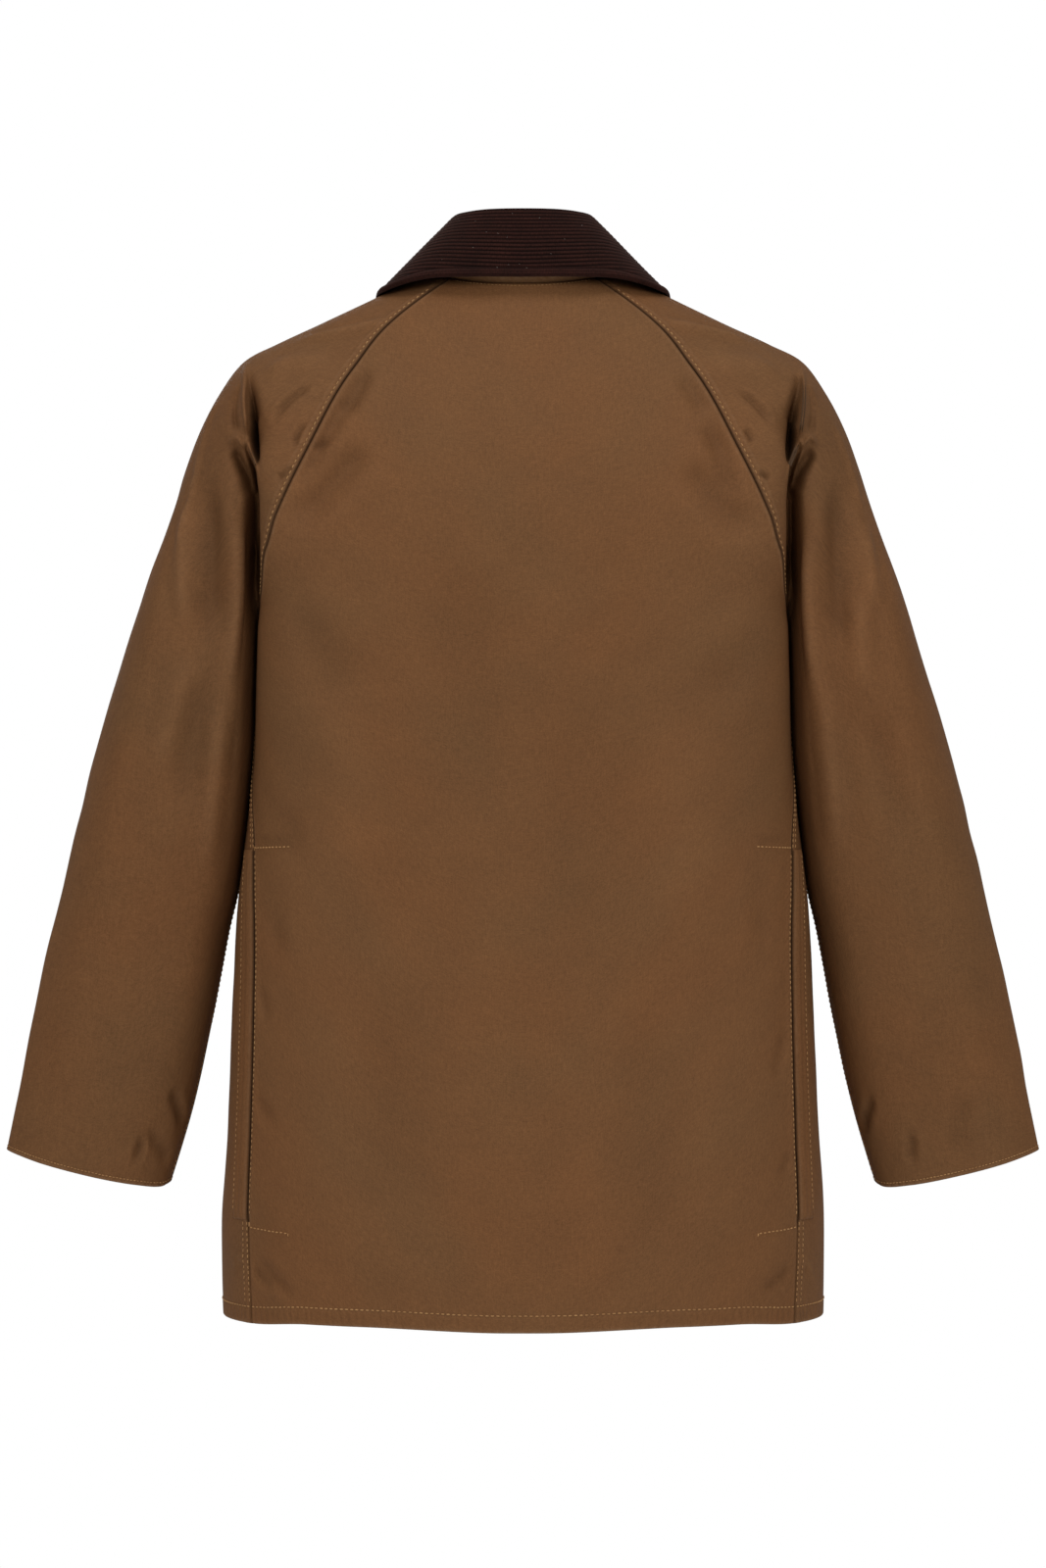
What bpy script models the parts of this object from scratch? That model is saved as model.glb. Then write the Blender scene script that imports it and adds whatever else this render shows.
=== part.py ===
"""Waxed cotton raglan jacket, filled out as when worn, with no wearer.

Metres, +Z up. The back faces +Y, the front faces -Y, +X is the wearer's left.
The origin is the middle of the neck seam, level with its centre back.

Every piece of cloth is a wall. Its outer face is lofted through guide lines: each table
below has a row for each section, and a smooth curve runs through the rows and then across
the guides. The wall goes inwards from there.
"""

from collections import namedtuple
from math import cos, pi, radians, sin

import bmesh
import bpy
import numpy as np
from mathutils import Vector

# ---------------------------------------------------------------- driving sizes
CLOTH = 0.0018  # waxed cotton with its lining
CORD_CLOTH = 0.0026  # corduroy collar, two layers
SEAM_GAP = 0.0003

NECK_HALF_WIDTH = 0.080
NECK_BACK = 0.068
NECK_FRONT = 0.078

HEM_LIFT = 0.0030  # the back hem is this much higher towards its sides than at the centre
CUFF_DIP = 0.0030  # the cuff hangs lower between its folded edges
CUFF_CORNER = 0.0052  # the inner corner of the cuff is rounded up by this

FOLD_RADIUS = 0.0036  # of the roll along the top of the collar
STAND_CLEAR = 0.0005  # between the foot of the stand and the neck edges
FRONT_CLEAR = 0.0017  # more of it round the front

LAP = 0.021  # each front goes on past the centre by this
LAP_STEP = 0.0032  # the under front lies this far inside the upper one
LAP_BLEND = 0.060

STUD_RADIUS = 0.0068
STUD_HEIGHT = 0.0024
STUD_LIFT = 0.0006  # clear of the curved cloth
STUD_Z = (-0.150, -0.285, -0.420, -0.555, -0.690)

WELT_WIDTH = 0.0240  # strip along the pocket slit of the side seam
WELT_TOP_S = 1.425
WELT_END_S = 1.9205
WELT_THICK = 0.0010
WELT_STEP = 0.0006  # it starts this far from the seam

# ---------------------------------------------------------------- section tables
# Body below the underarm. side_y is where the side seam runs.
Ring = namedtuple("Ring", "s z half_width back front square_back square_front side_y")
BODY = (
    Ring(1.00, -0.2700, 0.2072, 0.1370, 0.1250, 4.8, 3.2, 0.0000),
    Ring(1.12, -0.3100, 0.2088, 0.1368, 0.1275, 4.2, 3.0, 0.0120),
    Ring(1.26, -0.3700, 0.2112, 0.1355, 0.1310, 3.5, 2.8, 0.0360),
    Ring(1.38, -0.4200, 0.2168, 0.1348, 0.1340, 3.0, 2.7, 0.0620),
    Ring(1.52, -0.4850, 0.2246, 0.1350, 0.1370, 2.8, 2.6, 0.0755),
    Ring(1.68, -0.5650, 0.2284, 0.1375, 0.1400, 2.6, 2.5, 0.0762),
    Ring(1.84, -0.6650, 0.2328, 0.1420, 0.1430, 2.5, 2.4, 0.0778),
    Ring(1.93, -0.7350, 0.2372, 0.1455, 0.1450, 2.4, 2.4, 0.0793),
    Ring(2.00, -0.8060, 0.2360, 0.1480, 0.1460, 2.3, 2.3, 0.0795),
)
# Back above the underarm: centre line, raglan seam, and how square the section is between.
YokeRow = namedtuple("YokeRow", "s centre_y centre_z seam_x seam_y seam_z square")
BACK = (
    YokeRow(0.00, 0.0680, 0.0000, 0.0566, 0.0481, 0.0060, 2.0),
    YokeRow(0.12, 0.0845, -0.0300, 0.1041, 0.0705, -0.0320, 2.3),
    YokeRow(0.25, 0.1000, -0.0620, 0.1287, 0.0865, -0.0643, 2.7),
    YokeRow(0.38, 0.1130, -0.0920, 0.1463, 0.1010, -0.0926, 3.2),
    YokeRow(0.48, 0.1240, -0.1250, 0.1628, 0.1125, -0.1260, 3.8),
    YokeRow(0.58, 0.1305, -0.1550, 0.1765, 0.1192, -0.1540, 4.4),
    YokeRow(0.70, 0.1345, -0.1860, 0.1898, 0.1212, -0.1840, 5.0),
    YokeRow(0.80, 0.1360, -0.2110, 0.1975, 0.1160, -0.2090, 5.4),
    YokeRow(0.90, 0.1368, -0.2410, 0.2025, 0.0850, -0.2420, 5.2),
)
# Front above the underarm, from the centre line to the front raglan seam.
FRONT = (
    YokeRow(0.00, 0.0780, -0.0780, 0.0686, -0.0402, -0.0086, 2.0),
    YokeRow(0.12, 0.0870, -0.0980, 0.0920, -0.0620, -0.0450, 2.1),
    YokeRow(0.25, 0.0945, -0.1180, 0.1130, -0.0790, -0.0800, 2.3),
    YokeRow(0.38, 0.1000, -0.1370, 0.1310, -0.0895, -0.1100, 2.5),
    YokeRow(0.48, 0.1040, -0.1550, 0.1450, -0.0965, -0.1360, 2.7),
    YokeRow(0.58, 0.1080, -0.1730, 0.1580, -0.1010, -0.1610, 2.9),
    YokeRow(0.70, 0.1130, -0.1970, 0.1740, -0.1020, -0.1900, 3.1),
    YokeRow(0.80, 0.1168, -0.2165, 0.1860, -0.0960, -0.2130, 3.2),
    YokeRow(0.90, 0.1215, -0.2430, 0.1990, -0.0680, -0.2440, 3.2),
)
# Sleeve head, a row for each section from the back seam over the shoulder. The edge is where
# the back folds away at the arm, the valley is the armhole fold, the ridge is the back of the
# sleeve and the over line is the shoulder and then the outside of the arm.
HeadRow = namedtuple(
    "HeadRow",
    "s edge_x edge_y valley_x valley_y ridge_x ridge_y quarter_x quarter_y over_x over_y over_z",
)
HEAD_BACK = (
    HeadRow(0.00, 0.0630, 0.0419, 0.0690, 0.0345, 0.0740, 0.0258, 0.0782, 0.0143, 0.0800, 0.0010, 0.0120),
    HeadRow(0.12, 0.1085, 0.0628, 0.1128, 0.0538, 0.1168, 0.0408, 0.1200, 0.0245, 0.1222, 0.0070, -0.0086),
    HeadRow(0.25, 0.1385, 0.0790, 0.1462, 0.0695, 0.1528, 0.0535, 0.1575, 0.0320, 0.1603, 0.0060, -0.0268),
    HeadRow(0.38, 0.1625, 0.0920, 0.1735, 0.0815, 0.1835, 0.0640, 0.1902, 0.0370, 0.1938, 0.0040, -0.0427),
    HeadRow(0.48, 0.1870, 0.1000, 0.1985, 0.0870, 0.2085, 0.0705, 0.2158, 0.0410, 0.2198, 0.0030, -0.0568),
    HeadRow(0.58, 0.2012, 0.1010, 0.2056, 0.0720, 0.2145, 0.0800, 0.2315, 0.0500, 0.2385, 0.0020, -0.0820),
    HeadRow(0.70, 0.2014, 0.1020, 0.2062, 0.0540, 0.2162, 0.0852, 0.2455, 0.0600, 0.2567, 0.0010, -0.1190),
    HeadRow(0.80, 0.2020, 0.0975, 0.2074, 0.0430, 0.2174, 0.0872, 0.2560, 0.0640, 0.2693, 0.0010, -0.1540),
    HeadRow(0.90, 0.2050, 0.0540, 0.2090, 0.0390, 0.2190, 0.0870, 0.2675, 0.0680, 0.2824, 0.0020, -0.1935),
)
HEAD_FRONT = (
    HeadRow(0.00, 0.0728, -0.0322, 0.0757, -0.0250, 0.0780, -0.0175, 0.0795, -0.0080, 0.0800, 0.0010, 0.0120),
    HeadRow(0.12, 0.1000, -0.0565, 0.1072, -0.0480, 0.1140, -0.0345, 0.1195, -0.0140, 0.1222, 0.0070, -0.0086),
    HeadRow(0.25, 0.1265, -0.0730, 0.1385, -0.0640, 0.1490, -0.0470, 0.1565, -0.0210, 0.1603, 0.0060, -0.0268),
    HeadRow(0.38, 0.1510, -0.0840, 0.1665, -0.0745, 0.1800, -0.0550, 0.1895, -0.0255, 0.1938, 0.0040, -0.0427),
    HeadRow(0.48, 0.1720, -0.0905, 0.1900, -0.0795, 0.2050, -0.0600, 0.2155, -0.0300, 0.2198, 0.0030, -0.0568),
    HeadRow(0.58, 0.1900, -0.0925, 0.2050, -0.0720, 0.2185, -0.0660, 0.2325, -0.0370, 0.2385, 0.0020, -0.0820),
    HeadRow(0.70, 0.2000, -0.0885, 0.2088, -0.0540, 0.2250, -0.0730, 0.2473, -0.0450, 0.2567, 0.0010, -0.1190),
    HeadRow(0.80, 0.2048, -0.0740, 0.2096, -0.0400, 0.2290, -0.0770, 0.2580, -0.0520, 0.2693, 0.0010, -0.1540),
    HeadRow(0.90, 0.2086, -0.0410, 0.2114, -0.0270, 0.2320, -0.0800, 0.2698, -0.0585, 0.2824, 0.0020, -0.1935),
)
HEAD_RISE = (0.0, 0.20, 0.37, 0.64, 0.88, 1.0)  # share of the way up from seam to over line
# Sleeve below the underarm. lean is the sleeve's tilt out from straight down, in degrees.
SleeveRing = namedtuple("SleeveRing", "s x y z half_width half_depth lean square square_in")
SLEEVE = (
    SleeveRing(1.00, 0.2536, 0.003, -0.2560, 0.0479, 0.0848, 17.5, 2.35, 4.0),
    SleeveRing(1.12, 0.2630, 0.003, -0.3100, 0.0552, 0.0815, 16.0, 2.35, 3.8),
    SleeveRing(1.26, 0.2714, 0.002, -0.3570, 0.0611, 0.0755, 15.0, 2.3, 3.4),
    SleeveRing(1.38, 0.2837, 0.001, -0.4200, 0.0661, 0.0670, 13.6, 2.3, 3.1),
    SleeveRing(1.46, 0.2901, 0.000, -0.4547, 0.0678, 0.0620, 13.0, 2.2, 2.8),
    SleeveRing(1.55, 0.2982, -0.002, -0.4895, 0.0677, 0.0570, 12.5, 2.2, 2.6),
    SleeveRing(1.70, 0.3130, -0.006, -0.5600, 0.0690, 0.0480, 12.2, 2.1, 2.4),
    SleeveRing(1.86, 0.3285, -0.012, -0.6300, 0.0688, 0.0390, 12.4, 2.1, 2.2),
    SleeveRing(2.00, 0.3445, -0.018, -0.6940, 0.0668, 0.0310, 12.9, 2.1, 2.1),
)
RING_ANGLES = (0.0, 11.0, 24.0, 54.0, 122.0, 180.0)  # the same guides, round the sleeve
# Collar, by angle from centre back: the fold line at the top, and the edge of the fall.
CollarRow = namedtuple("CollarRow", "angle fold_x fold_y fold_z edge_x edge_y edge_z swell")
COLLAR = (
    CollarRow(0, 0.0000, 0.0600, 0.0588, 0.0000, 0.0800, 0.0042, 0.0030),
    CollarRow(25, 0.0245, 0.0550, 0.0587, 0.0400, 0.0775, 0.0047, 0.0030),
    CollarRow(50, 0.0412, 0.0400, 0.0580, 0.0765, 0.0615, 0.0050, 0.0025),
    CollarRow(75, 0.0506, 0.0180, 0.0572, 0.1075, 0.0310, -0.0005, 0.0000),
    CollarRow(100, 0.0548, -0.0120, 0.0530, 0.1170, -0.0085, -0.0050, 0.0000),
    CollarRow(125, 0.0530, -0.0400, 0.0300, 0.1150, -0.0540, -0.0330, 0.0030),
    CollarRow(150, 0.0350, -0.0680, -0.0100, 0.0970, -0.0905, -0.0800, 0.0040),
    CollarRow(174, 0.0095, -0.0830, -0.0420, 0.0700, -0.1045, -0.1280, 0.0040),
)

# ---------------------------------------------------------------- smooth curves
def through(knots, values, at):
    """Smooth curve through values at knots, each a row, read at the places in at."""
    knots, values, at = (np.asarray(v, float) for v in (knots, values, at))
    step = np.diff(knots)
    slope = np.diff(values, axis=0) / step[:, None]
    tangent = np.empty_like(values)
    inner = (slope[:-1] * step[1:, None] + slope[1:] * step[:-1, None]) / (step[1:] + step[:-1])[:, None]
    tangent[1:-1] = inner
    tangent[0] = 1.5 * slope[0] - 0.5 * (inner[0] if len(inner) else slope[0])
    tangent[-1] = 1.5 * slope[-1] - 0.5 * (inner[-1] if len(inner) else slope[-1])
    i = np.clip(np.searchsorted(knots, at, side="right") - 1, 0, len(knots) - 2)
    h = step[i][:, None]
    t = ((at - knots[i]) / step[i])[:, None]
    return (
        (2 * t**3 - 3 * t**2 + 1) * values[i]
        + (t**3 - 2 * t**2 + t) * h * tangent[i]
        + (-2 * t**3 + 3 * t**2) * values[i + 1]
        + (t**3 - t**2) * h * tangent[i + 1]
    )


def across(points, shares, at):
    """Curve through one section's guide points, with its speed following their spacing.

    shares are the guides' places between 0 and 1, and at holds the places wanted."""
    chord = np.maximum(np.linalg.norm(np.diff(points, axis=0), axis=1), 1e-5) ** 0.75
    knots = np.concatenate([[0.0], np.cumsum(chord)])
    return through(knots, points, np.interp(at, shares, knots))


def table(rows, *columns):
    return np.array([[getattr(row, c) for c in columns] for row in rows], float)


def power(value, exponent):
    return np.sign(value) * np.abs(value) ** exponent


# ---------------------------------------------------------------- guides
def corner_angle(x, y, width, depth, square):
    """Angle along a squared-off arc, from its middle, of the point x, y on it."""
    return np.arctan2((x / width) ** (square / 2), (abs(y) / depth) ** (square / 2))


def body_rows(front):
    """Stations, and each section's width, depth, squareness and height at the centre line."""
    stations, values = [], []
    for row in FRONT if front else BACK:
        reach = (1 - (abs(row.seam_y) / row.centre_y) ** row.square) ** (1 / row.square)
        values.append([row.seam_x / reach, row.centre_y, row.square, row.centre_z])
        stations.append(row.s)
    for ring in BODY:
        depth, square = (ring.front, ring.square_front) if front else (ring.back, ring.square_back)
        values.append([ring.half_width, depth, square, ring.z])
        stations.append(ring.s)
    return np.array(stations), np.array(values)


def raglan_line(front):
    """Stations and points of the raglan seam, down to the underarm."""
    rows = FRONT if front else BACK
    stations = [row.s for row in rows] + [1.0]
    points = [[row.seam_x, abs(row.seam_y), row.seam_z] for row in rows]
    points.append([BODY[0].half_width, 0.0, BODY[0].z])
    return np.array(stations), np.array(points)


def body_surface(at_s, at_u, front):
    """Half a body panel: u is the share of the way along the section from the centre to the seam.
    A negative u goes on past the centre."""
    at_s, at_u = np.asarray(at_s, float), np.asarray(at_u, float)
    sizes = through(*body_rows(front), at_s)
    other = through(*body_rows(False), at_s) if front else sizes
    seam = through(*raglan_line(front), np.minimum(at_s, 1.0))
    side = through([ring.s for ring in BODY], table(BODY, "side_y"), np.maximum(at_s, 1.0))[:, 0]
    grid = np.empty((len(at_s), len(at_u), 3))
    for i, (width, depth, square, centre_z) in enumerate(sizes):
        if at_s[i] <= 1.0:
            end = corner_angle(seam[i, 0], max(seam[i, 1], 0.0), width, depth, square)
            seam_z = seam[i, 2]
        else:
            end = np.arccos(np.clip(side[i] / other[i][1], 0, 1) ** (other[i][2] / 2))
            end = pi - end if front else end
            seam_z = centre_z
        angle = np.linspace(0, end, 600)
        past = angle > pi / 2  # beyond the side, where the back's own section goes on
        d = np.where(past, -other[i][1], depth) * (-1 if front else 1)
        n = np.where(past, other[i][2], square)
        x = width * power(np.sin(angle), 2 / n)
        y = d * np.abs(power(np.cos(angle), 2 / n))
        length = np.concatenate([[0], np.cumsum(np.hypot(np.diff(x), np.diff(y)))])
        share = length / length[-1]
        grid[i, :, 0] = np.sign(at_u) * np.interp(np.abs(at_u), share, x)
        grid[i, :, 1] = np.interp(np.abs(at_u), share, y)
        grid[i, :, 2] = centre_z + (seam_z - centre_z) * at_u**2
        if not front:
            low = smooth_step((at_s[i] - 1.75) / 0.25)
            rise = smooth_step((np.abs(at_u) - 0.05) / 0.50) * smooth_step((1.0 - np.abs(at_u)) / 0.25)
            grid[i, :, 2] += HEM_LIFT * low * rise
    return grid


def raglan_seam(at_s, front):
    return body_surface(at_s, [1.0], front)[:, 0]


def sleeve_guides():
    """(stations, guides) of a sleeve: guides run from the back seam over the arm to the front."""
    stations, guides = [], []
    for k, (b, f) in enumerate(zip(HEAD_BACK, HEAD_FRONT)):
        line = []
        for row, seam, order in ((b, BACK[k], 1), (f, FRONT[k], -1)):
            places = (
                (seam.seam_x, seam.seam_y),
                (row.edge_x, row.edge_y),
                (row.valley_x, row.valley_y),
                (row.ridge_x, row.ridge_y),
                (row.quarter_x, row.quarter_y),
                (row.over_x, row.over_y),
            )
            side = [
                [x, y, seam.seam_z + (row.over_z - seam.seam_z) * rise]
                for (x, y), rise in zip(places, HEAD_RISE)
            ]
            line.append(side[::order])
        guides.append(line[0] + line[1][1:])
        stations.append(b.s)
    for ring in SLEEVE:
        lean = radians(ring.lean)
        out = np.array([cos(lean), 0, sin(lean)])
        points = []
        for angle in RING_ANGLES + tuple(360 - a for a in RING_ANGLES[-2::-1]):
            a = radians(angle)
            cuff = CUFF_CORNER * max(0.0, cos(a)) ** 14 - CUFF_DIP * abs(sin(a))
            square = ring.square_in if 1 < angle < 76 else ring.square  # the back corner by the body
            points.append(
                np.array([ring.x, ring.y, ring.z])
                - out * ring.half_width * power(cos(a), 2 / square)
                + np.array([0, 1, 0]) * ring.half_depth * power(sin(a), 2 / square)
                + np.array([0, 0, 1]) * (cuff if ring.s == 2.0 else 0.0)
            )
        guides.append(points)
        stations.append(ring.s)
    return np.array(stations), np.array(guides, float)


SLEEVE_SHARES = (0.0, 0.10, 0.20, 0.30, 0.41, 0.50, 0.59, 0.70, 0.80, 0.90, 1.0)


def loft(stations, guides, shares, at_s, at_u):
    count, lines = guides.shape[:2]
    rails = through(stations, guides.reshape(count, -1), at_s).reshape(len(at_s), lines, 3)
    head = np.asarray(at_s) <= 1.0
    for line, front in ((0, False), (-1, True)):
        rails[head, line] = raglan_seam(np.asarray(at_s)[head], front)
    return np.array([across(rail, shares, at_u) for rail in rails])


def front_surface(at_s, at_u, under):
    """u runs from the lap, past the centre at 0, to +1 at the seam, on the +X side."""
    points = body_surface(at_s, at_u, True)
    if under:
        inside = 1 - smooth_step((np.abs(points[..., 0]) - LAP - 0.002) / LAP_BLEND)
        points[..., 1] += LAP_STEP * inside
    return points


def lap_edge(at_s, under):
    """The column of points where a front ends, past the centre."""
    line = front_surface(at_s, np.linspace(-0.5, 0, 60), under)
    return np.array([[np.interp(-LAP, row[:, 0], row[:, k]) for k in range(3)] for row in line])[:, None]


def sleeve_surface(at_s, at_u):
    stations, guides = sleeve_guides()
    return loft(stations, guides, SLEEVE_SHARES, at_s, at_u)


def smooth_step(x):
    x = np.clip(x, 0, 1)
    return x * x * (3 - 2 * x)


def neck_line(angles):
    """The neck seam, where the back, the sleeves and the fronts end, by angle from centre back."""
    line = np.concatenate(
        [
            body_surface([0.0], np.linspace(0, 1, 60), False)[0],
            sleeve_surface([0.0], np.linspace(0, 1, 60)[1:])[0],
            body_surface([0.0], np.linspace(1, 0, 60)[1:], True)[0],
        ]
    )
    depth = np.where(line[:, 1] > 0, NECK_BACK, NECK_FRONT)
    at = np.degrees(np.arctan2(line[:, 0] / NECK_HALF_WIDTH, line[:, 1] / depth))
    return np.array(
        [[np.interp(abs(a), at, line[:, k]) * (-1 if k == 0 and a < 0 else 1) for k in range(3)] for a in angles]
    )


def collar_lines(angles):
    """(seam, fold, edge, swell) of the collar at these angles, negative on the right."""
    rows = table(COLLAR, "fold_x", "fold_y", "fold_z", "edge_x", "edge_y", "edge_z", "swell")
    knots = np.array([row.angle for row in COLLAR], float)
    flip = np.array([-1, 1, 1, -1, 1, 1, 1])
    knots = np.concatenate([-knots[:0:-1], knots])
    rows = np.concatenate([rows[:0:-1] * flip, rows])
    values = through(knots, rows, angles)
    return neck_line(angles), values[:, :3], values[:, 3:6], values[:, 6]


# ---------------------------------------------------------------- walls
def surface_normals(points):
    du = np.gradient(points, axis=1)
    ds = np.gradient(points, axis=0)
    normal = np.cross(ds, du)
    length = np.linalg.norm(normal, axis=2, keepdims=True)
    return normal / np.maximum(length, 1e-12)


def trimmed(points, first, last):
    """The grid with its first and last columns drawn in along the surface by these amounts."""
    points = points.copy()
    for edge, inner, amount in ((0, 1, first), (-1, -2, last)):
        along = points[:, inner] - points[:, edge]
        points[:, edge] += along / np.linalg.norm(along, axis=1, keepdims=True) * amount
    return points


def wall(name, outer, normals, thickness, material):
    """One closed solid between the outer grid and the same grid moved inwards."""
    rows, columns = outer.shape[:2]
    inner = outer - normals * thickness
    mesh = bpy.data.meshes.new(name)
    made = bmesh.new()
    grids = [[[made.verts.new(p) for p in row] for row in grid] for grid in (outer, inner)]
    for i in range(rows - 1):
        for j in range(columns - 1):
            a, b = grids
            made.faces.new((a[i][j], a[i + 1][j], a[i + 1][j + 1], a[i][j + 1]))
            made.faces.new((b[i][j], b[i][j + 1], b[i + 1][j + 1], b[i + 1][j]))
    rim = [(0, j) for j in range(columns)] + [(i, columns - 1) for i in range(1, rows)]
    rim += [(rows - 1, j) for j in range(columns - 2, -1, -1)] + [(i, 0) for i in range(rows - 2, 0, -1)]
    for (i, j), (k, m) in zip(rim, rim[1:] + rim[:1]):
        made.faces.new((grids[0][i][j], grids[0][k][m], grids[1][k][m], grids[1][i][j]))
    bmesh.ops.recalc_face_normals(made, faces=made.faces)
    if made.calc_volume(signed=True) < 0:
        bmesh.ops.reverse_faces(made, faces=made.faces)
    made.to_mesh(mesh)
    made.free()
    mesh.shade_smooth()
    mesh.set_sharp_from_angle(angle=radians(50))
    obj = bpy.data.objects.new(name, mesh)
    obj.data.materials.append(material)
    bpy.context.scene.collection.objects.link(obj)
    return obj


def shared(a, b):
    """Seam direction for two pieces: the mean of their normals unless they fold back on each other."""
    both = a + b
    length = np.linalg.norm(both, axis=1, keepdims=True)
    turn = (a * b).sum(axis=1, keepdims=True)
    mean = both / np.maximum(length, 1e-9)
    return np.where(turn > 0.2, mean, a), np.where(turn > 0.2, mean, b)


def finish(name, colour, roughness, metallic=0.0):
    material = bpy.data.materials.new(name)
    material.use_nodes = True
    shader = material.node_tree.nodes["Principled BSDF"]
    shader.inputs["Base Color"].default_value = (*colour, 1)
    shader.inputs["Roughness"].default_value = roughness
    shader.inputs["Metallic"].default_value = metallic
    return material


def cap(name, place, facing, radius, height, material):
    """Domed press-stud cap standing on the cloth."""
    made = bmesh.new()
    profile = [(0.62, 0.0), (1.0, 0.08), (1.0, 0.42), (0.80, 0.80), (0.42, 1.0)]
    rings = []
    for share, rise in profile:
        rings.append(
            [
                made.verts.new((radius * share * cos(2 * pi * k / 20), radius * share * sin(2 * pi * k / 20), height * rise))
                for k in range(20)
            ]
        )
    for low, high in zip(rings, rings[1:]):
        for k in range(20):
            made.faces.new((low[k], low[(k + 1) % 20], high[(k + 1) % 20], high[k]))
    made.faces.new(rings[0][::-1])
    made.faces.new(rings[-1])
    mesh = bpy.data.meshes.new(name)
    made.to_mesh(mesh)
    made.free()
    mesh.shade_smooth()
    mesh.set_sharp_from_angle(angle=radians(40))
    obj = bpy.data.objects.new(name, mesh)
    obj.data.materials.append(material)
    bpy.context.scene.collection.objects.link(obj)
    obj.location = Vector(place) + Vector(facing) * SEAM_GAP
    obj.rotation_euler = Vector(facing).to_track_quat("Z", "Y").to_euler()
    return obj


# ---------------------------------------------------------------- the jacket
HEAD_S = (0.0, 0.06, 0.12, 0.19, 0.26, 0.33, 0.40, 0.47, 0.54, 0.61, 0.68, 0.75, 0.82, 0.88, 0.94, 1.0)
BODY_S = HEAD_S + (1.06, 1.14, 1.24, 1.36, 1.48, 1.60, 1.72, 1.84, 1.93, 2.0)
SLEEVE_S = HEAD_S + (1.07, 1.16, 1.27, 1.40, 1.55, 1.70, 1.86, 2.0)
BACK_U = (0.0, 0.16, 0.32, 0.48, 0.62, 0.74, 0.84, 0.92, 1.0)
FRONT_U = (0.0, 0.15, 0.32, 0.50, 0.64, 0.76, 0.86, 0.94, 1.0)
SLEEVE_U = (
    0.0, 0.05, 0.10, 0.135, 0.17, 0.20, 0.23, 0.265, 0.30, 0.355, 0.41, 0.455,
    0.50, 0.545, 0.59, 0.645, 0.70, 0.75, 0.80, 0.85, 0.90, 0.95, 1.0,
)  # fmt: skip


def build():
    for obj in list(bpy.data.objects):
        bpy.data.objects.remove(obj, do_unlink=True)
    waxed = finish("waxed_cotton", (0.135, 0.066, 0.030), 0.55)
    cord = finish("corduroy", (0.028, 0.0105, 0.0085), 0.85)
    brass = finish("aged_brass", (0.36, 0.24, 0.10), 0.38, 1.0)

    flip = np.array([-1.0, 1, 1])
    head = len(HEAD_S)
    back = body_surface(BODY_S, [-u for u in BACK_U[:0:-1]] + list(BACK_U), False)
    sleeve = sleeve_surface(SLEEVE_S, SLEEVE_U)
    fronts = {}
    for side, under in (("left", False), ("right", True)):
        fronts[side] = np.concatenate([lap_edge(BODY_S, under), front_surface(BODY_S, FRONT_U, under)], axis=1)

    back_n = surface_normals(back)
    back_n *= np.sign(back_n[len(BODY_S) // 2, len(BACK_U) - 1, 1])
    sleeve_n = surface_normals(sleeve)
    sleeve_n *= np.sign(sleeve_n[-3, 11, 0])
    front_n = {}
    for side in fronts:
        front_n[side] = surface_normals(fronts[side])
        front_n[side] *= -np.sign(front_n[side][len(BODY_S) // 2, 1, 1])

    # Seams: both pieces are thickened along one direction there.
    back_n[:head, -1], sleeve_n[:head, 0] = shared(back_n[:head, -1], sleeve_n[:head, 0])
    for side in fronts:
        front_n[side][:head, -1], front_sleeve = shared(front_n[side][:head, -1], sleeve_n[:head, -1])
    sleeve_n[:head, -1] = front_sleeve
    back_n[head:, -1], side_n = shared(back_n[head:, -1], front_n["left"][head:, -1])
    for side in fronts:
        front_n[side][head:, -1] = side_n
    back_n[:, : len(BACK_U) - 1] = (back_n[:, :-len(BACK_U) : -1] * flip)
    both = 0.5 * (sleeve_n[head:, 0] + sleeve_n[head:, -1])
    both /= np.linalg.norm(both, axis=1, keepdims=True)
    sleeve_n[head:, 0] = sleeve_n[head:, -1] = both

    half = SEAM_GAP / 2 + 0.00005
    wall("back_panel", trimmed(back, half, half), back_n, CLOTH, waxed)
    sleeve = trimmed(sleeve, half, half)
    wall("sleeve_left", sleeve, sleeve_n, CLOTH, waxed)
    wall("sleeve_right", sleeve * flip, sleeve_n * flip, CLOTH, waxed)
    wall("front_left", trimmed(fronts["left"], 0, half), front_n["left"], CLOTH, waxed)
    wall("front_right", trimmed(fronts["right"], 0, half) * flip, front_n["right"] * flip, CLOTH, waxed)

    # Pocket welts: a strip on each front along the open part of the side seam.
    at_s = np.linspace(WELT_TOP_S, WELT_END_S, 11)
    for side, under, turn in (("left", False, 1.0), ("right", True, -1.0)):
        welt, welt_n = strip_on_front(at_s, under, WELT_STEP, WELT_WIDTH, 4)
        lift = SEAM_GAP + WELT_THICK
        mirror = np.array([turn, 1, 1])
        wall("pocket_welt_" + side, (welt + welt_n * lift) * mirror, welt_n * mirror, WELT_THICK, waxed)

    # Press-stud caps down the middle of the lap.
    for k, z in enumerate(STUD_Z, 1):
        s_at = np.interp(-z, -through(*body_rows(True), BODY_S)[:, 3], BODY_S)
        near = front_surface([s_at - 0.01, s_at, s_at + 0.01], [-0.02, 0.0, 0.02], False)
        across_it, down_it = near[1, 2] - near[1, 0], near[2, 1] - near[0, 1]
        facing = np.cross(across_it, down_it)
        facing *= -np.sign(facing[1]) / np.linalg.norm(facing)
        cap("stud_%d" % k, near[1, 1] + facing * STUD_LIFT, facing, STUD_RADIUS, STUD_HEIGHT, brass)

    collar(waxed, cord)


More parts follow.
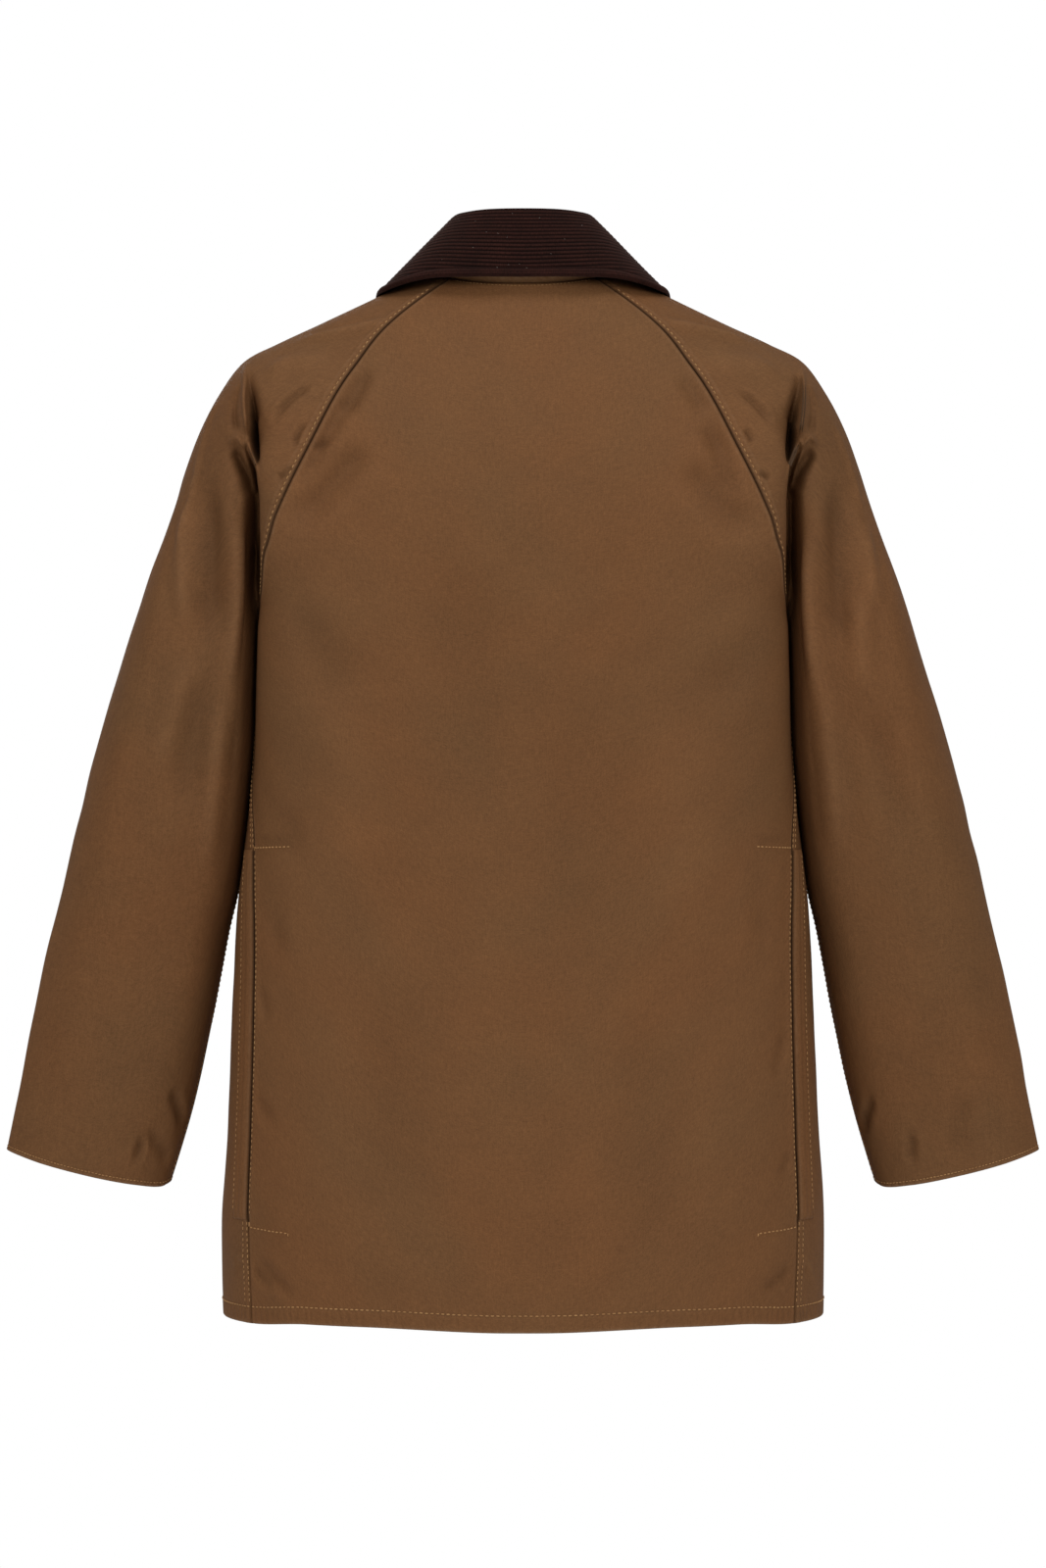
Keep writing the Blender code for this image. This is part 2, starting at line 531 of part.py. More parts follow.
def strip_on_front(at_s, under, step, width, columns):
    """Points and outward directions of a strip on a front, starting step from the side seam."""
    at_u = np.linspace(0.70, 1.0, 90)
    grid = front_surface(at_s, at_u, under)
    normals = surface_normals(grid)
    normals *= np.sign(normals[0, -1, 0])
    points, facing = [], []
    for row, n in zip(grid, normals):
        length = np.concatenate([[0], np.cumsum(np.linalg.norm(np.diff(row[::-1], axis=0), axis=1))])
        wanted = np.linspace(step, step + width, columns)
        points.append([[np.interp(w, length, row[::-1, k]) for k in range(3)] for w in wanted])
        facing.append([[np.interp(w, length, n[::-1, k]) for k in range(3)] for w in wanted])
    facing = np.array(facing)
    return np.array(points), facing / np.linalg.norm(facing, axis=2, keepdims=True)


def unit(v):
    return v / np.linalg.norm(v, axis=-1, keepdims=True)


def collar_sections(angles, rolls, shares):
    """(stand, fall, facing): grids of points across the collar, a column for each angle, and
    the outward directions on the roll.

    The fall rounds over the top of the stand through these roll angles, then runs to its edge."""
    seam, fold, edge, swell = collar_lines(angles)
    along = unit(np.gradient(fold, axis=0))
    a, b = (unit(v - along * (v * along).sum(axis=1, keepdims=True)) for v in (edge - fold, seam - fold))
    up = -unit(a + b)
    out = unit(a - up * (a * up).sum(axis=1, keepdims=True))
    centre = fold - up * FOLD_RADIUS
    facing = [out * cos(radians(r)) + up * sin(radians(r)) for r in rolls]
    fall = [centre + FOLD_RADIUS * f for f in facing]
    start = fall[-1].copy()
    face = unit(np.cross(np.gradient(start, axis=0), edge - start))
    face *= np.sign((face * out).sum(axis=1, keepdims=True))
    for share in shares:
        fall.append(start + (edge - start) * share + face * (swell[:, None] * 4 * share * (1 - share)))
    top = centre - out * (FOLD_RADIUS - CLOTH) - up * 0.0009
    clear = STAND_CLEAR + FRONT_CLEAR * smooth_step((np.abs(angles) - 90.0) / 25.0)
    foot = seam + unit(top - seam) * clear[:, None]
    stand = [foot + (top - foot) * share for share in STAND_SHARES]
    return np.array(stand), np.array(fall), np.array(facing)


FALL_ROLLS = (180.0, 128.0, 76.0, 24.0)
FALL_SHARES = (0.25, 0.50, 0.76, 1.0)
STAND_SHARES = (0.0, 0.5, 1.0)


def collar(waxed, cord):
    angles = np.concatenate([np.linspace(-174, -100, 7)[:-1], np.linspace(-100, 100, 17), np.linspace(100, 174, 7)[1:]])
    stand, fall, facing = collar_sections(angles, FALL_ROLLS, FALL_SHARES)
    centre = len(angles) // 2
    stand_n = surface_normals(stand)
    stand_n *= np.sign(stand_n[1, centre, 1])
    wall("collar_stand", stand, stand_n, CLOTH, waxed)
    fall_n = surface_normals(fall)
    fall_n *= np.sign(fall_n[5, centre, 1])
    fall_n[: len(FALL_ROLLS)] = facing
    wall("collar_fall", fall, fall_n, CORD_CLOTH, cord)


build()
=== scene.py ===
"""Waxed cotton jacket: the cloth, thread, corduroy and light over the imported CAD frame.

Lengths are in metres. +Z is up, the front faces -Y and +X is the wearer's left. The tables and
surface functions down to "collar_sections" are the same as part.py's, so that each shell lies on
its own solid.
"""

from collections import namedtuple
from math import cos, pi, radians, sin
from types import SimpleNamespace

import bpy
import numpy as np
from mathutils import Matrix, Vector
from mathutils.bvhtree import BVHTree


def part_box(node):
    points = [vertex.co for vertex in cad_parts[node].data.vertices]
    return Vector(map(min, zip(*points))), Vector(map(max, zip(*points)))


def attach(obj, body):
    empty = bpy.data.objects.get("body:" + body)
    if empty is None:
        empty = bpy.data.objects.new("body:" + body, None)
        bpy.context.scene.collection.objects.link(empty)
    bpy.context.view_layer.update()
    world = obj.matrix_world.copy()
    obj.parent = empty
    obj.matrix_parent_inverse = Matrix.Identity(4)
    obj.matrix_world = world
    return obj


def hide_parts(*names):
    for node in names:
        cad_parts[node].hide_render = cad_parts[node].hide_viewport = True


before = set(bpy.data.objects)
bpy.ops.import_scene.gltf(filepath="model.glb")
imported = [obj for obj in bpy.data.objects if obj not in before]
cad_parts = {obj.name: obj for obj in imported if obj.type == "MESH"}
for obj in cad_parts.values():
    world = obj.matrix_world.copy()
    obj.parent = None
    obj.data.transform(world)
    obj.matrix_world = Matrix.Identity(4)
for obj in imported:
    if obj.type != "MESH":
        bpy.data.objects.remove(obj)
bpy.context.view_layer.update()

CLOTH = 0.0018
CORD_CLOTH = 0.0026
SEAM_GAP = 0.0003
STAND_SHARES = (0.0, 0.5, 1.0)
NECK_HALF_WIDTH = 0.080
NECK_BACK = 0.068
NECK_FRONT = 0.078

HEM_LIFT = 0.0030  # the back hem is this much higher towards its sides than at the centre
CUFF_DIP = 0.0030  # the cuff hangs lower between its folded edges
CUFF_CORNER = 0.0052  # the inner corner of the cuff is rounded up by this

FOLD_RADIUS = 0.0036  # of the roll along the top of the collar
STAND_CLEAR = 0.0005  # between the foot of the stand and the neck edges
FRONT_CLEAR = 0.0017  # more of it round the front

LAP = 0.021  # each front goes on past the centre by this
LAP_STEP = 0.0032  # the under front lies this far inside the upper one
LAP_BLEND = 0.060

STUD_RADIUS = 0.0068
STUD_HEIGHT = 0.0024
STUD_LIFT = 0.0006  # clear of the curved cloth
STUD_Z = (-0.150, -0.285, -0.420, -0.555, -0.690)

WELT_WIDTH = 0.0240  # strip along the pocket slit of the side seam
WELT_TOP_S = 1.425
WELT_END_S = 1.9205
WELT_THICK = 0.0010
WELT_STEP = 0.0006  # it starts this far from the seam

# ---------------------------------------------------------------- section tables
# Body below the underarm. side_y is where the side seam runs.
Ring = namedtuple("Ring", "s z half_width back front square_back square_front side_y")
BODY = (
    Ring(1.00, -0.2700, 0.2072, 0.1370, 0.1250, 4.8, 3.2, 0.0000),
    Ring(1.12, -0.3100, 0.2088, 0.1368, 0.1275, 4.2, 3.0, 0.0120),
    Ring(1.26, -0.3700, 0.2112, 0.1355, 0.1310, 3.5, 2.8, 0.0360),
    Ring(1.38, -0.4200, 0.2168, 0.1348, 0.1340, 3.0, 2.7, 0.0620),
    Ring(1.52, -0.4850, 0.2246, 0.1350, 0.1370, 2.8, 2.6, 0.0755),
    Ring(1.68, -0.5650, 0.2284, 0.1375, 0.1400, 2.6, 2.5, 0.0762),
    Ring(1.84, -0.6650, 0.2328, 0.1420, 0.1430, 2.5, 2.4, 0.0778),
    Ring(1.93, -0.7350, 0.2372, 0.1455, 0.1450, 2.4, 2.4, 0.0793),
    Ring(2.00, -0.8060, 0.2360, 0.1480, 0.1460, 2.3, 2.3, 0.0795),
)
# Back above the underarm: centre line, raglan seam, and how square the section is between.
YokeRow = namedtuple("YokeRow", "s centre_y centre_z seam_x seam_y seam_z square")
BACK = (
    YokeRow(0.00, 0.0680, 0.0000, 0.0566, 0.0481, 0.0060, 2.0),
    YokeRow(0.12, 0.0845, -0.0300, 0.1041, 0.0705, -0.0320, 2.3),
    YokeRow(0.25, 0.1000, -0.0620, 0.1287, 0.0865, -0.0643, 2.7),
    YokeRow(0.38, 0.1130, -0.0920, 0.1463, 0.1010, -0.0926, 3.2),
    YokeRow(0.48, 0.1240, -0.1250, 0.1628, 0.1125, -0.1260, 3.8),
    YokeRow(0.58, 0.1305, -0.1550, 0.1765, 0.1192, -0.1540, 4.4),
    YokeRow(0.70, 0.1345, -0.1860, 0.1898, 0.1212, -0.1840, 5.0),
    YokeRow(0.80, 0.1360, -0.2110, 0.1975, 0.1160, -0.2090, 5.4),
    YokeRow(0.90, 0.1368, -0.2410, 0.2025, 0.0850, -0.2420, 5.2),
)
# Front above the underarm, from the centre line to the front raglan seam.
FRONT = (
    YokeRow(0.00, 0.0780, -0.0780, 0.0686, -0.0402, -0.0086, 2.0),
    YokeRow(0.12, 0.0870, -0.0980, 0.0920, -0.0620, -0.0450, 2.1),
    YokeRow(0.25, 0.0945, -0.1180, 0.1130, -0.0790, -0.0800, 2.3),
    YokeRow(0.38, 0.1000, -0.1370, 0.1310, -0.0895, -0.1100, 2.5),
    YokeRow(0.48, 0.1040, -0.1550, 0.1450, -0.0965, -0.1360, 2.7),
    YokeRow(0.58, 0.1080, -0.1730, 0.1580, -0.1010, -0.1610, 2.9),
    YokeRow(0.70, 0.1130, -0.1970, 0.1740, -0.1020, -0.1900, 3.1),
    YokeRow(0.80, 0.1168, -0.2165, 0.1860, -0.0960, -0.2130, 3.2),
    YokeRow(0.90, 0.1215, -0.2430, 0.1990, -0.0680, -0.2440, 3.2),
)
# Sleeve head, a row for each section from the back seam over the shoulder. The edge is where
# the back folds away at the arm, the valley is the armhole fold, the ridge is the back of the
# sleeve and the over line is the shoulder and then the outside of the arm.
HeadRow = namedtuple(
    "HeadRow",
    "s edge_x edge_y valley_x valley_y ridge_x ridge_y quarter_x quarter_y over_x over_y over_z",
)
HEAD_BACK = (
    HeadRow(0.00, 0.0630, 0.0419, 0.0690, 0.0345, 0.0740, 0.0258, 0.0782, 0.0143, 0.0800, 0.0010, 0.0120),
    HeadRow(0.12, 0.1085, 0.0628, 0.1128, 0.0538, 0.1168, 0.0408, 0.1200, 0.0245, 0.1222, 0.0070, -0.0086),
    HeadRow(0.25, 0.1385, 0.0790, 0.1462, 0.0695, 0.1528, 0.0535, 0.1575, 0.0320, 0.1603, 0.0060, -0.0268),
    HeadRow(0.38, 0.1625, 0.0920, 0.1735, 0.0815, 0.1835, 0.0640, 0.1902, 0.0370, 0.1938, 0.0040, -0.0427),
    HeadRow(0.48, 0.1870, 0.1000, 0.1985, 0.0870, 0.2085, 0.0705, 0.2158, 0.0410, 0.2198, 0.0030, -0.0568),
    HeadRow(0.58, 0.2012, 0.1010, 0.2056, 0.0720, 0.2145, 0.0800, 0.2315, 0.0500, 0.2385, 0.0020, -0.0820),
    HeadRow(0.70, 0.2014, 0.1020, 0.2062, 0.0540, 0.2162, 0.0852, 0.2455, 0.0600, 0.2567, 0.0010, -0.1190),
    HeadRow(0.80, 0.2020, 0.0975, 0.2074, 0.0430, 0.2174, 0.0872, 0.2560, 0.0640, 0.2693, 0.0010, -0.1540),
    HeadRow(0.90, 0.2050, 0.0540, 0.2090, 0.0390, 0.2190, 0.0870, 0.2675, 0.0680, 0.2824, 0.0020, -0.1935),
)
HEAD_FRONT = (
    HeadRow(0.00, 0.0728, -0.0322, 0.0757, -0.0250, 0.0780, -0.0175, 0.0795, -0.0080, 0.0800, 0.0010, 0.0120),
    HeadRow(0.12, 0.1000, -0.0565, 0.1072, -0.0480, 0.1140, -0.0345, 0.1195, -0.0140, 0.1222, 0.0070, -0.0086),
    HeadRow(0.25, 0.1265, -0.0730, 0.1385, -0.0640, 0.1490, -0.0470, 0.1565, -0.0210, 0.1603, 0.0060, -0.0268),
    HeadRow(0.38, 0.1510, -0.0840, 0.1665, -0.0745, 0.1800, -0.0550, 0.1895, -0.0255, 0.1938, 0.0040, -0.0427),
    HeadRow(0.48, 0.1720, -0.0905, 0.1900, -0.0795, 0.2050, -0.0600, 0.2155, -0.0300, 0.2198, 0.0030, -0.0568),
    HeadRow(0.58, 0.1900, -0.0925, 0.2050, -0.0720, 0.2185, -0.0660, 0.2325, -0.0370, 0.2385, 0.0020, -0.0820),
    HeadRow(0.70, 0.2000, -0.0885, 0.2088, -0.0540, 0.2250, -0.0730, 0.2473, -0.0450, 0.2567, 0.0010, -0.1190),
    HeadRow(0.80, 0.2048, -0.0740, 0.2096, -0.0400, 0.2290, -0.0770, 0.2580, -0.0520, 0.2693, 0.0010, -0.1540),
    HeadRow(0.90, 0.2086, -0.0410, 0.2114, -0.0270, 0.2320, -0.0800, 0.2698, -0.0585, 0.2824, 0.0020, -0.1935),
)
HEAD_RISE = (0.0, 0.20, 0.37, 0.64, 0.88, 1.0)  # share of the way up from seam to over line
# Sleeve below the underarm. lean is the sleeve's tilt out from straight down, in degrees.
SleeveRing = namedtuple("SleeveRing", "s x y z half_width half_depth lean square square_in")
SLEEVE = (
    SleeveRing(1.00, 0.2536, 0.003, -0.2560, 0.0479, 0.0848, 17.5, 2.35, 4.0),
    SleeveRing(1.12, 0.2630, 0.003, -0.3100, 0.0552, 0.0815, 16.0, 2.35, 3.8),
    SleeveRing(1.26, 0.2714, 0.002, -0.3570, 0.0611, 0.0755, 15.0, 2.3, 3.4),
    SleeveRing(1.38, 0.2837, 0.001, -0.4200, 0.0661, 0.0670, 13.6, 2.3, 3.1),
    SleeveRing(1.46, 0.2901, 0.000, -0.4547, 0.0678, 0.0620, 13.0, 2.2, 2.8),
    SleeveRing(1.55, 0.2982, -0.002, -0.4895, 0.0677, 0.0570, 12.5, 2.2, 2.6),
    SleeveRing(1.70, 0.3130, -0.006, -0.5600, 0.0690, 0.0480, 12.2, 2.1, 2.4),
    SleeveRing(1.86, 0.3285, -0.012, -0.6300, 0.0688, 0.0390, 12.4, 2.1, 2.2),
    SleeveRing(2.00, 0.3445, -0.018, -0.6940, 0.0668, 0.0310, 12.9, 2.1, 2.1),
)
RING_ANGLES = (0.0, 11.0, 24.0, 54.0, 122.0, 180.0)  # the same guides, round the sleeve
# Collar, by angle from centre back: the fold line at the top, and the edge of the fall.
CollarRow = namedtuple("CollarRow", "angle fold_x fold_y fold_z edge_x edge_y edge_z swell")
COLLAR = (
    CollarRow(0, 0.0000, 0.0600, 0.0588, 0.0000, 0.0800, 0.0042, 0.0030),
    CollarRow(25, 0.0245, 0.0550, 0.0587, 0.0400, 0.0775, 0.0047, 0.0030),
    CollarRow(50, 0.0412, 0.0400, 0.0580, 0.0765, 0.0615, 0.0050, 0.0025),
    CollarRow(75, 0.0506, 0.0180, 0.0572, 0.1075, 0.0310, -0.0005, 0.0000),
    CollarRow(100, 0.0548, -0.0120, 0.0530, 0.1170, -0.0085, -0.0050, 0.0000),
    CollarRow(125, 0.0530, -0.0400, 0.0300, 0.1150, -0.0540, -0.0330, 0.0030),
    CollarRow(150, 0.0350, -0.0680, -0.0100, 0.0970, -0.0905, -0.0800, 0.0040),
    CollarRow(174, 0.0095, -0.0830, -0.0420, 0.0700, -0.1045, -0.1280, 0.0040),
)

# ---------------------------------------------------------------- smooth curves
def through(knots, values, at):
    """Smooth curve through values at knots, each a row, read at the places in at."""
    knots, values, at = (np.asarray(v, float) for v in (knots, values, at))
    step = np.diff(knots)
    slope = np.diff(values, axis=0) / step[:, None]
    tangent = np.empty_like(values)
    inner = (slope[:-1] * step[1:, None] + slope[1:] * step[:-1, None]) / (step[1:] + step[:-1])[:, None]
    tangent[1:-1] = inner
    tangent[0] = 1.5 * slope[0] - 0.5 * (inner[0] if len(inner) else slope[0])
    tangent[-1] = 1.5 * slope[-1] - 0.5 * (inner[-1] if len(inner) else slope[-1])
    i = np.clip(np.searchsorted(knots, at, side="right") - 1, 0, len(knots) - 2)
    h = step[i][:, None]
    t = ((at - knots[i]) / step[i])[:, None]
    return (
        (2 * t**3 - 3 * t**2 + 1) * values[i]
        + (t**3 - 2 * t**2 + t) * h * tangent[i]
        + (-2 * t**3 + 3 * t**2) * values[i + 1]
        + (t**3 - t**2) * h * tangent[i + 1]
    )


def across(points, shares, at):
    """Curve through one section's guide points, with its speed following their spacing.

    shares are the guides' places between 0 and 1, and at holds the places wanted."""
    chord = np.maximum(np.linalg.norm(np.diff(points, axis=0), axis=1), 1e-5) ** 0.75
    knots = np.concatenate([[0.0], np.cumsum(chord)])
    return through(knots, points, np.interp(at, shares, knots))


def table(rows, *columns):
    return np.array([[getattr(row, c) for c in columns] for row in rows], float)


def power(value, exponent):
    return np.sign(value) * np.abs(value) ** exponent


# ---------------------------------------------------------------- guides
def corner_angle(x, y, width, depth, square):
    """Angle along a squared-off arc, from its middle, of the point x, y on it."""
    return np.arctan2((x / width) ** (square / 2), (abs(y) / depth) ** (square / 2))


def body_rows(front):
    """Stations, and each section's width, depth, squareness and height at the centre line."""
    stations, values = [], []
    for row in FRONT if front else BACK:
        reach = (1 - (abs(row.seam_y) / row.centre_y) ** row.square) ** (1 / row.square)
        values.append([row.seam_x / reach, row.centre_y, row.square, row.centre_z])
        stations.append(row.s)
    for ring in BODY:
        depth, square = (ring.front, ring.square_front) if front else (ring.back, ring.square_back)
        values.append([ring.half_width, depth, square, ring.z])
        stations.append(ring.s)
    return np.array(stations), np.array(values)


def raglan_line(front):
    """Stations and points of the raglan seam, down to the underarm."""
    rows = FRONT if front else BACK
    stations = [row.s for row in rows] + [1.0]
    points = [[row.seam_x, abs(row.seam_y), row.seam_z] for row in rows]
    points.append([BODY[0].half_width, 0.0, BODY[0].z])
    return np.array(stations), np.array(points)


def body_surface(at_s, at_u, front):
    """Half a body panel: u is the share of the way along the section from the centre to the seam.
    A negative u goes on past the centre."""
    at_s, at_u = np.asarray(at_s, float), np.asarray(at_u, float)
    sizes = through(*body_rows(front), at_s)
    other = through(*body_rows(False), at_s) if front else sizes
    seam = through(*raglan_line(front), np.minimum(at_s, 1.0))
    side = through([ring.s for ring in BODY], table(BODY, "side_y"), np.maximum(at_s, 1.0))[:, 0]
    grid = np.empty((len(at_s), len(at_u), 3))
    for i, (width, depth, square, centre_z) in enumerate(sizes):
        if at_s[i] <= 1.0:
            end = corner_angle(seam[i, 0], max(seam[i, 1], 0.0), width, depth, square)
            seam_z = seam[i, 2]
        else:
            end = np.arccos(np.clip(side[i] / other[i][1], 0, 1) ** (other[i][2] / 2))
            end = pi - end if front else end
            seam_z = centre_z
        angle = np.linspace(0, end, 600)
        past = angle > pi / 2  # beyond the side, where the back's own section goes on
        d = np.where(past, -other[i][1], depth) * (-1 if front else 1)
        n = np.where(past, other[i][2], square)
        x = width * power(np.sin(angle), 2 / n)
        y = d * np.abs(power(np.cos(angle), 2 / n))
        length = np.concatenate([[0], np.cumsum(np.hypot(np.diff(x), np.diff(y)))])
        share = length / length[-1]
        grid[i, :, 0] = np.sign(at_u) * np.interp(np.abs(at_u), share, x)
        grid[i, :, 1] = np.interp(np.abs(at_u), share, y)
        grid[i, :, 2] = centre_z + (seam_z - centre_z) * at_u**2
        if not front:
            low = smooth_step((at_s[i] - 1.75) / 0.25)
            rise = smooth_step((np.abs(at_u) - 0.05) / 0.50) * smooth_step((1.0 - np.abs(at_u)) / 0.25)
            grid[i, :, 2] += HEM_LIFT * low * rise
    return grid


def raglan_seam(at_s, front):
    return body_surface(at_s, [1.0], front)[:, 0]


def sleeve_guides():
    """(stations, guides) of a sleeve: guides run from the back seam over the arm to the front."""
    stations, guides = [], []
    for k, (b, f) in enumerate(zip(HEAD_BACK, HEAD_FRONT)):
        line = []
        for row, seam, order in ((b, BACK[k], 1), (f, FRONT[k], -1)):
            places = (
                (seam.seam_x, seam.seam_y),
                (row.edge_x, row.edge_y),
                (row.valley_x, row.valley_y),
                (row.ridge_x, row.ridge_y),
                (row.quarter_x, row.quarter_y),
                (row.over_x, row.over_y),
            )
            side = [
                [x, y, seam.seam_z + (row.over_z - seam.seam_z) * rise]
                for (x, y), rise in zip(places, HEAD_RISE)
            ]
            line.append(side[::order])
        guides.append(line[0] + line[1][1:])
        stations.append(b.s)
    for ring in SLEEVE:
        lean = radians(ring.lean)
        out = np.array([cos(lean), 0, sin(lean)])
        points = []
        for angle in RING_ANGLES + tuple(360 - a for a in RING_ANGLES[-2::-1]):
            a = radians(angle)
            cuff = CUFF_CORNER * max(0.0, cos(a)) ** 14 - CUFF_DIP * abs(sin(a))
            square = ring.square_in if 1 < angle < 76 else ring.square  # the back corner by the body
            points.append(
                np.array([ring.x, ring.y, ring.z])
                - out * ring.half_width * power(cos(a), 2 / square)
                + np.array([0, 1, 0]) * ring.half_depth * power(sin(a), 2 / square)
                + np.array([0, 0, 1]) * (cuff if ring.s == 2.0 else 0.0)
            )
        guides.append(points)
        stations.append(ring.s)
    return np.array(stations), np.array(guides, float)


SLEEVE_SHARES = (0.0, 0.10, 0.20, 0.30, 0.41, 0.50, 0.59, 0.70, 0.80, 0.90, 1.0)


def loft(stations, guides, shares, at_s, at_u):
    count, lines = guides.shape[:2]
    rails = through(stations, guides.reshape(count, -1), at_s).reshape(len(at_s), lines, 3)
    head = np.asarray(at_s) <= 1.0
    for line, front in ((0, False), (-1, True)):
        rails[head, line] = raglan_seam(np.asarray(at_s)[head], front)
    return np.array([across(rail, shares, at_u) for rail in rails])


def front_surface(at_s, at_u, under):
    """u runs from the lap, past the centre at 0, to +1 at the seam, on the +X side."""
    points = body_surface(at_s, at_u, True)
    if under:
        inside = 1 - smooth_step((np.abs(points[..., 0]) - LAP - 0.002) / LAP_BLEND)
        points[..., 1] += LAP_STEP * inside
    return points


def lap_edge(at_s, under):
    """The column of points where a front ends, past the centre."""
    line = front_surface(at_s, np.linspace(-0.5, 0, 60), under)
    return np.array([[np.interp(-LAP, row[:, 0], row[:, k]) for k in range(3)] for row in line])[:, None]


def sleeve_surface(at_s, at_u):
    stations, guides = sleeve_guides()
    return loft(stations, guides, SLEEVE_SHARES, at_s, at_u)


def smooth_step(x):
    x = np.clip(x, 0, 1)
    return x * x * (3 - 2 * x)


def neck_line(angles):
    """The neck seam, where the back, the sleeves and the fronts end, by angle from centre back."""
    line = np.concatenate(
        [
            body_surface([0.0], np.linspace(0, 1, 60), False)[0],
            sleeve_surface([0.0], np.linspace(0, 1, 60)[1:])[0],
            body_surface([0.0], np.linspace(1, 0, 60)[1:], True)[0],
        ]
    )
    depth = np.where(line[:, 1] > 0, NECK_BACK, NECK_FRONT)
    at = np.degrees(np.arctan2(line[:, 0] / NECK_HALF_WIDTH, line[:, 1] / depth))
    return np.array(
        [[np.interp(abs(a), at, line[:, k]) * (-1 if k == 0 and a < 0 else 1) for k in range(3)] for a in angles]
    )


def collar_lines(angles):
    """(seam, fold, edge, swell) of the collar at these angles, negative on the right."""
    rows = table(COLLAR, "fold_x", "fold_y", "fold_z", "edge_x", "edge_y", "edge_z", "swell")
    knots = np.array([row.angle for row in COLLAR], float)
    flip = np.array([-1, 1, 1, -1, 1, 1, 1])
    knots = np.concatenate([-knots[:0:-1], knots])
    rows = np.concatenate([rows[:0:-1] * flip, rows])
    values = through(knots, rows, angles)
    return neck_line(angles), values[:, :3], values[:, 3:6], values[:, 6]


def surface_normals(points):
    du = np.gradient(points, axis=1)
    ds = np.gradient(points, axis=0)
    normal = np.cross(ds, du)
    length = np.linalg.norm(normal, axis=2, keepdims=True)
    return normal / np.maximum(length, 1e-12)


def unit(v):
    return v / np.linalg.norm(v, axis=-1, keepdims=True)


def collar_sections(angles, rolls, shares):
    """(stand, fall, facing): grids of points across the collar, a column for each angle, and
    the outward directions on the roll.

    The fall rounds over the top of the stand through these roll angles, then runs to its edge."""
    seam, fold, edge, swell = collar_lines(angles)
    along = unit(np.gradient(fold, axis=0))
    a, b = (unit(v - along * (v * along).sum(axis=1, keepdims=True)) for v in (edge - fold, seam - fold))
    up = -unit(a + b)
    out = unit(a - up * (a * up).sum(axis=1, keepdims=True))
    centre = fold - up * FOLD_RADIUS
    facing = [out * cos(radians(r)) + up * sin(radians(r)) for r in rolls]
    fall = [centre + FOLD_RADIUS * f for f in facing]
    start = fall[-1].copy()
    face = unit(np.cross(np.gradient(start, axis=0), edge - start))
    face *= np.sign((face * out).sum(axis=1, keepdims=True))
    for share in shares:
        fall.append(start + (edge - start) * share + face * (swell[:, None] * 4 * share * (1 - share)))
    top = centre - out * (FOLD_RADIUS - CLOTH) - up * 0.0009
    clear = STAND_CLEAR + FRONT_CLEAR * smooth_step((np.abs(angles) - 90.0) / 25.0)
    foot = seam + unit(top - seam) * clear[:, None]
    stand = [foot + (top - foot) * share for share in STAND_SHARES]
    return np.array(stand), np.array(fall), np.array(facing)



# ---------------------------------------------------------------- sizes of what is added here
SHELL = 0.0016  # thickness of the visual cloth
EDGE_ROUND = 0.0006  # how far a free edge rounds out
LIP_DEPTH = 0.0010  # the edges roll into a seam by this
LIP_WIDTH = 0.0017  # over this width
FELL_HIGH = 0.0006  # the folded-under allowance stands up by this beside a seam
FELL_WIDE = 0.0078
HEM_ROW = 0.0127  # stitch row above the hem's edge
CUFF_ROW = 0.0036
LAP_ROW = 0.0065
RAGLAN_ROW = 0.0034
SIDE_ROWS = (0.0013, 0.0068)
SLIT_ROW = 0.0021
STITCH = 0.0029  # a stitch's length, and the pitch they are set at
STITCH_PITCH = 0.0042
THREAD = 0.00042  # radius
HEM_THREAD = 0.00056
BAND = np.array([0.0, 0.0005, 0.0010, 0.0016, 0.0023, 0.0030, 0.0038, 0.0048, 0.0058, 0.0068, 0.0079, 0.0092, 0.0110, 0.0135])
HEM_FROM = np.array([0.0, 0.0007, 0.0018, 0.0036, 0.0060, 0.0085, 0.0105, 0.0118, 0.0127, 0.0136, 0.0150, 0.0172, 0.0205])
CUFF_FROM = np.array([0.0, 0.0006, 0.0014, 0.0024, 0.0032, 0.0040, 0.0050, 0.0066, 0.0090, 0.0120])
SIDES = {"left": 1.0, "right": -1.0}


def seam_rows(low_z):
    """Evenly spaced head stations, used by the back and the fronts."""
    return np.linspace(0, 1, low_z)


HEAD_ROWS = seam_rows(134)
# the arm's own ones, finer where the folds are
ARM_HEAD_ROWS = np.concatenate([np.linspace(0, 0.42, 42)[:-1], np.linspace(0.42, 0.86, 84)[:-1], np.linspace(0.86, 1, 26)])


def stations_by_height(knots, heights, first, last, count, foot, foot_rate):
    """Stations below the underarm, evenly spaced down the cloth, with fine ones at the foot."""
    wanted = np.linspace(first, last, count)[1:]
    fine = np.linspace(knots[0], knots[-1], 800)
    z = through(knots, np.asarray(heights, float)[:, None], fine)[:, 0]
    even = np.interp(-wanted, -z, fine)
    return np.concatenate([even, 2.0 - foot[::-1] / foot_rate])


BODY_ROWS = np.concatenate(
    [HEAD_ROWS, stations_by_height([r.s for r in BODY], [r.z for r in BODY], -0.270, -0.782, 122, HEM_FROM, 1.03)]
)
ARM_ROWS = np.concatenate(
    [ARM_HEAD_ROWS, stations_by_height([r.s for r in SLEEVE], [r.z for r in SLEEVE], -0.256, -0.680, 108, CUFF_FROM, 0.47)]
)


# ---------------------------------------------------------------- panels as fine grids
def run(points):
    """Distance along each row of points from its first one."""
    step = np.linalg.norm(np.diff(points, axis=1), axis=2)
    return np.concatenate([np.zeros((len(points), 1)), np.cumsum(step, axis=1)], axis=1)


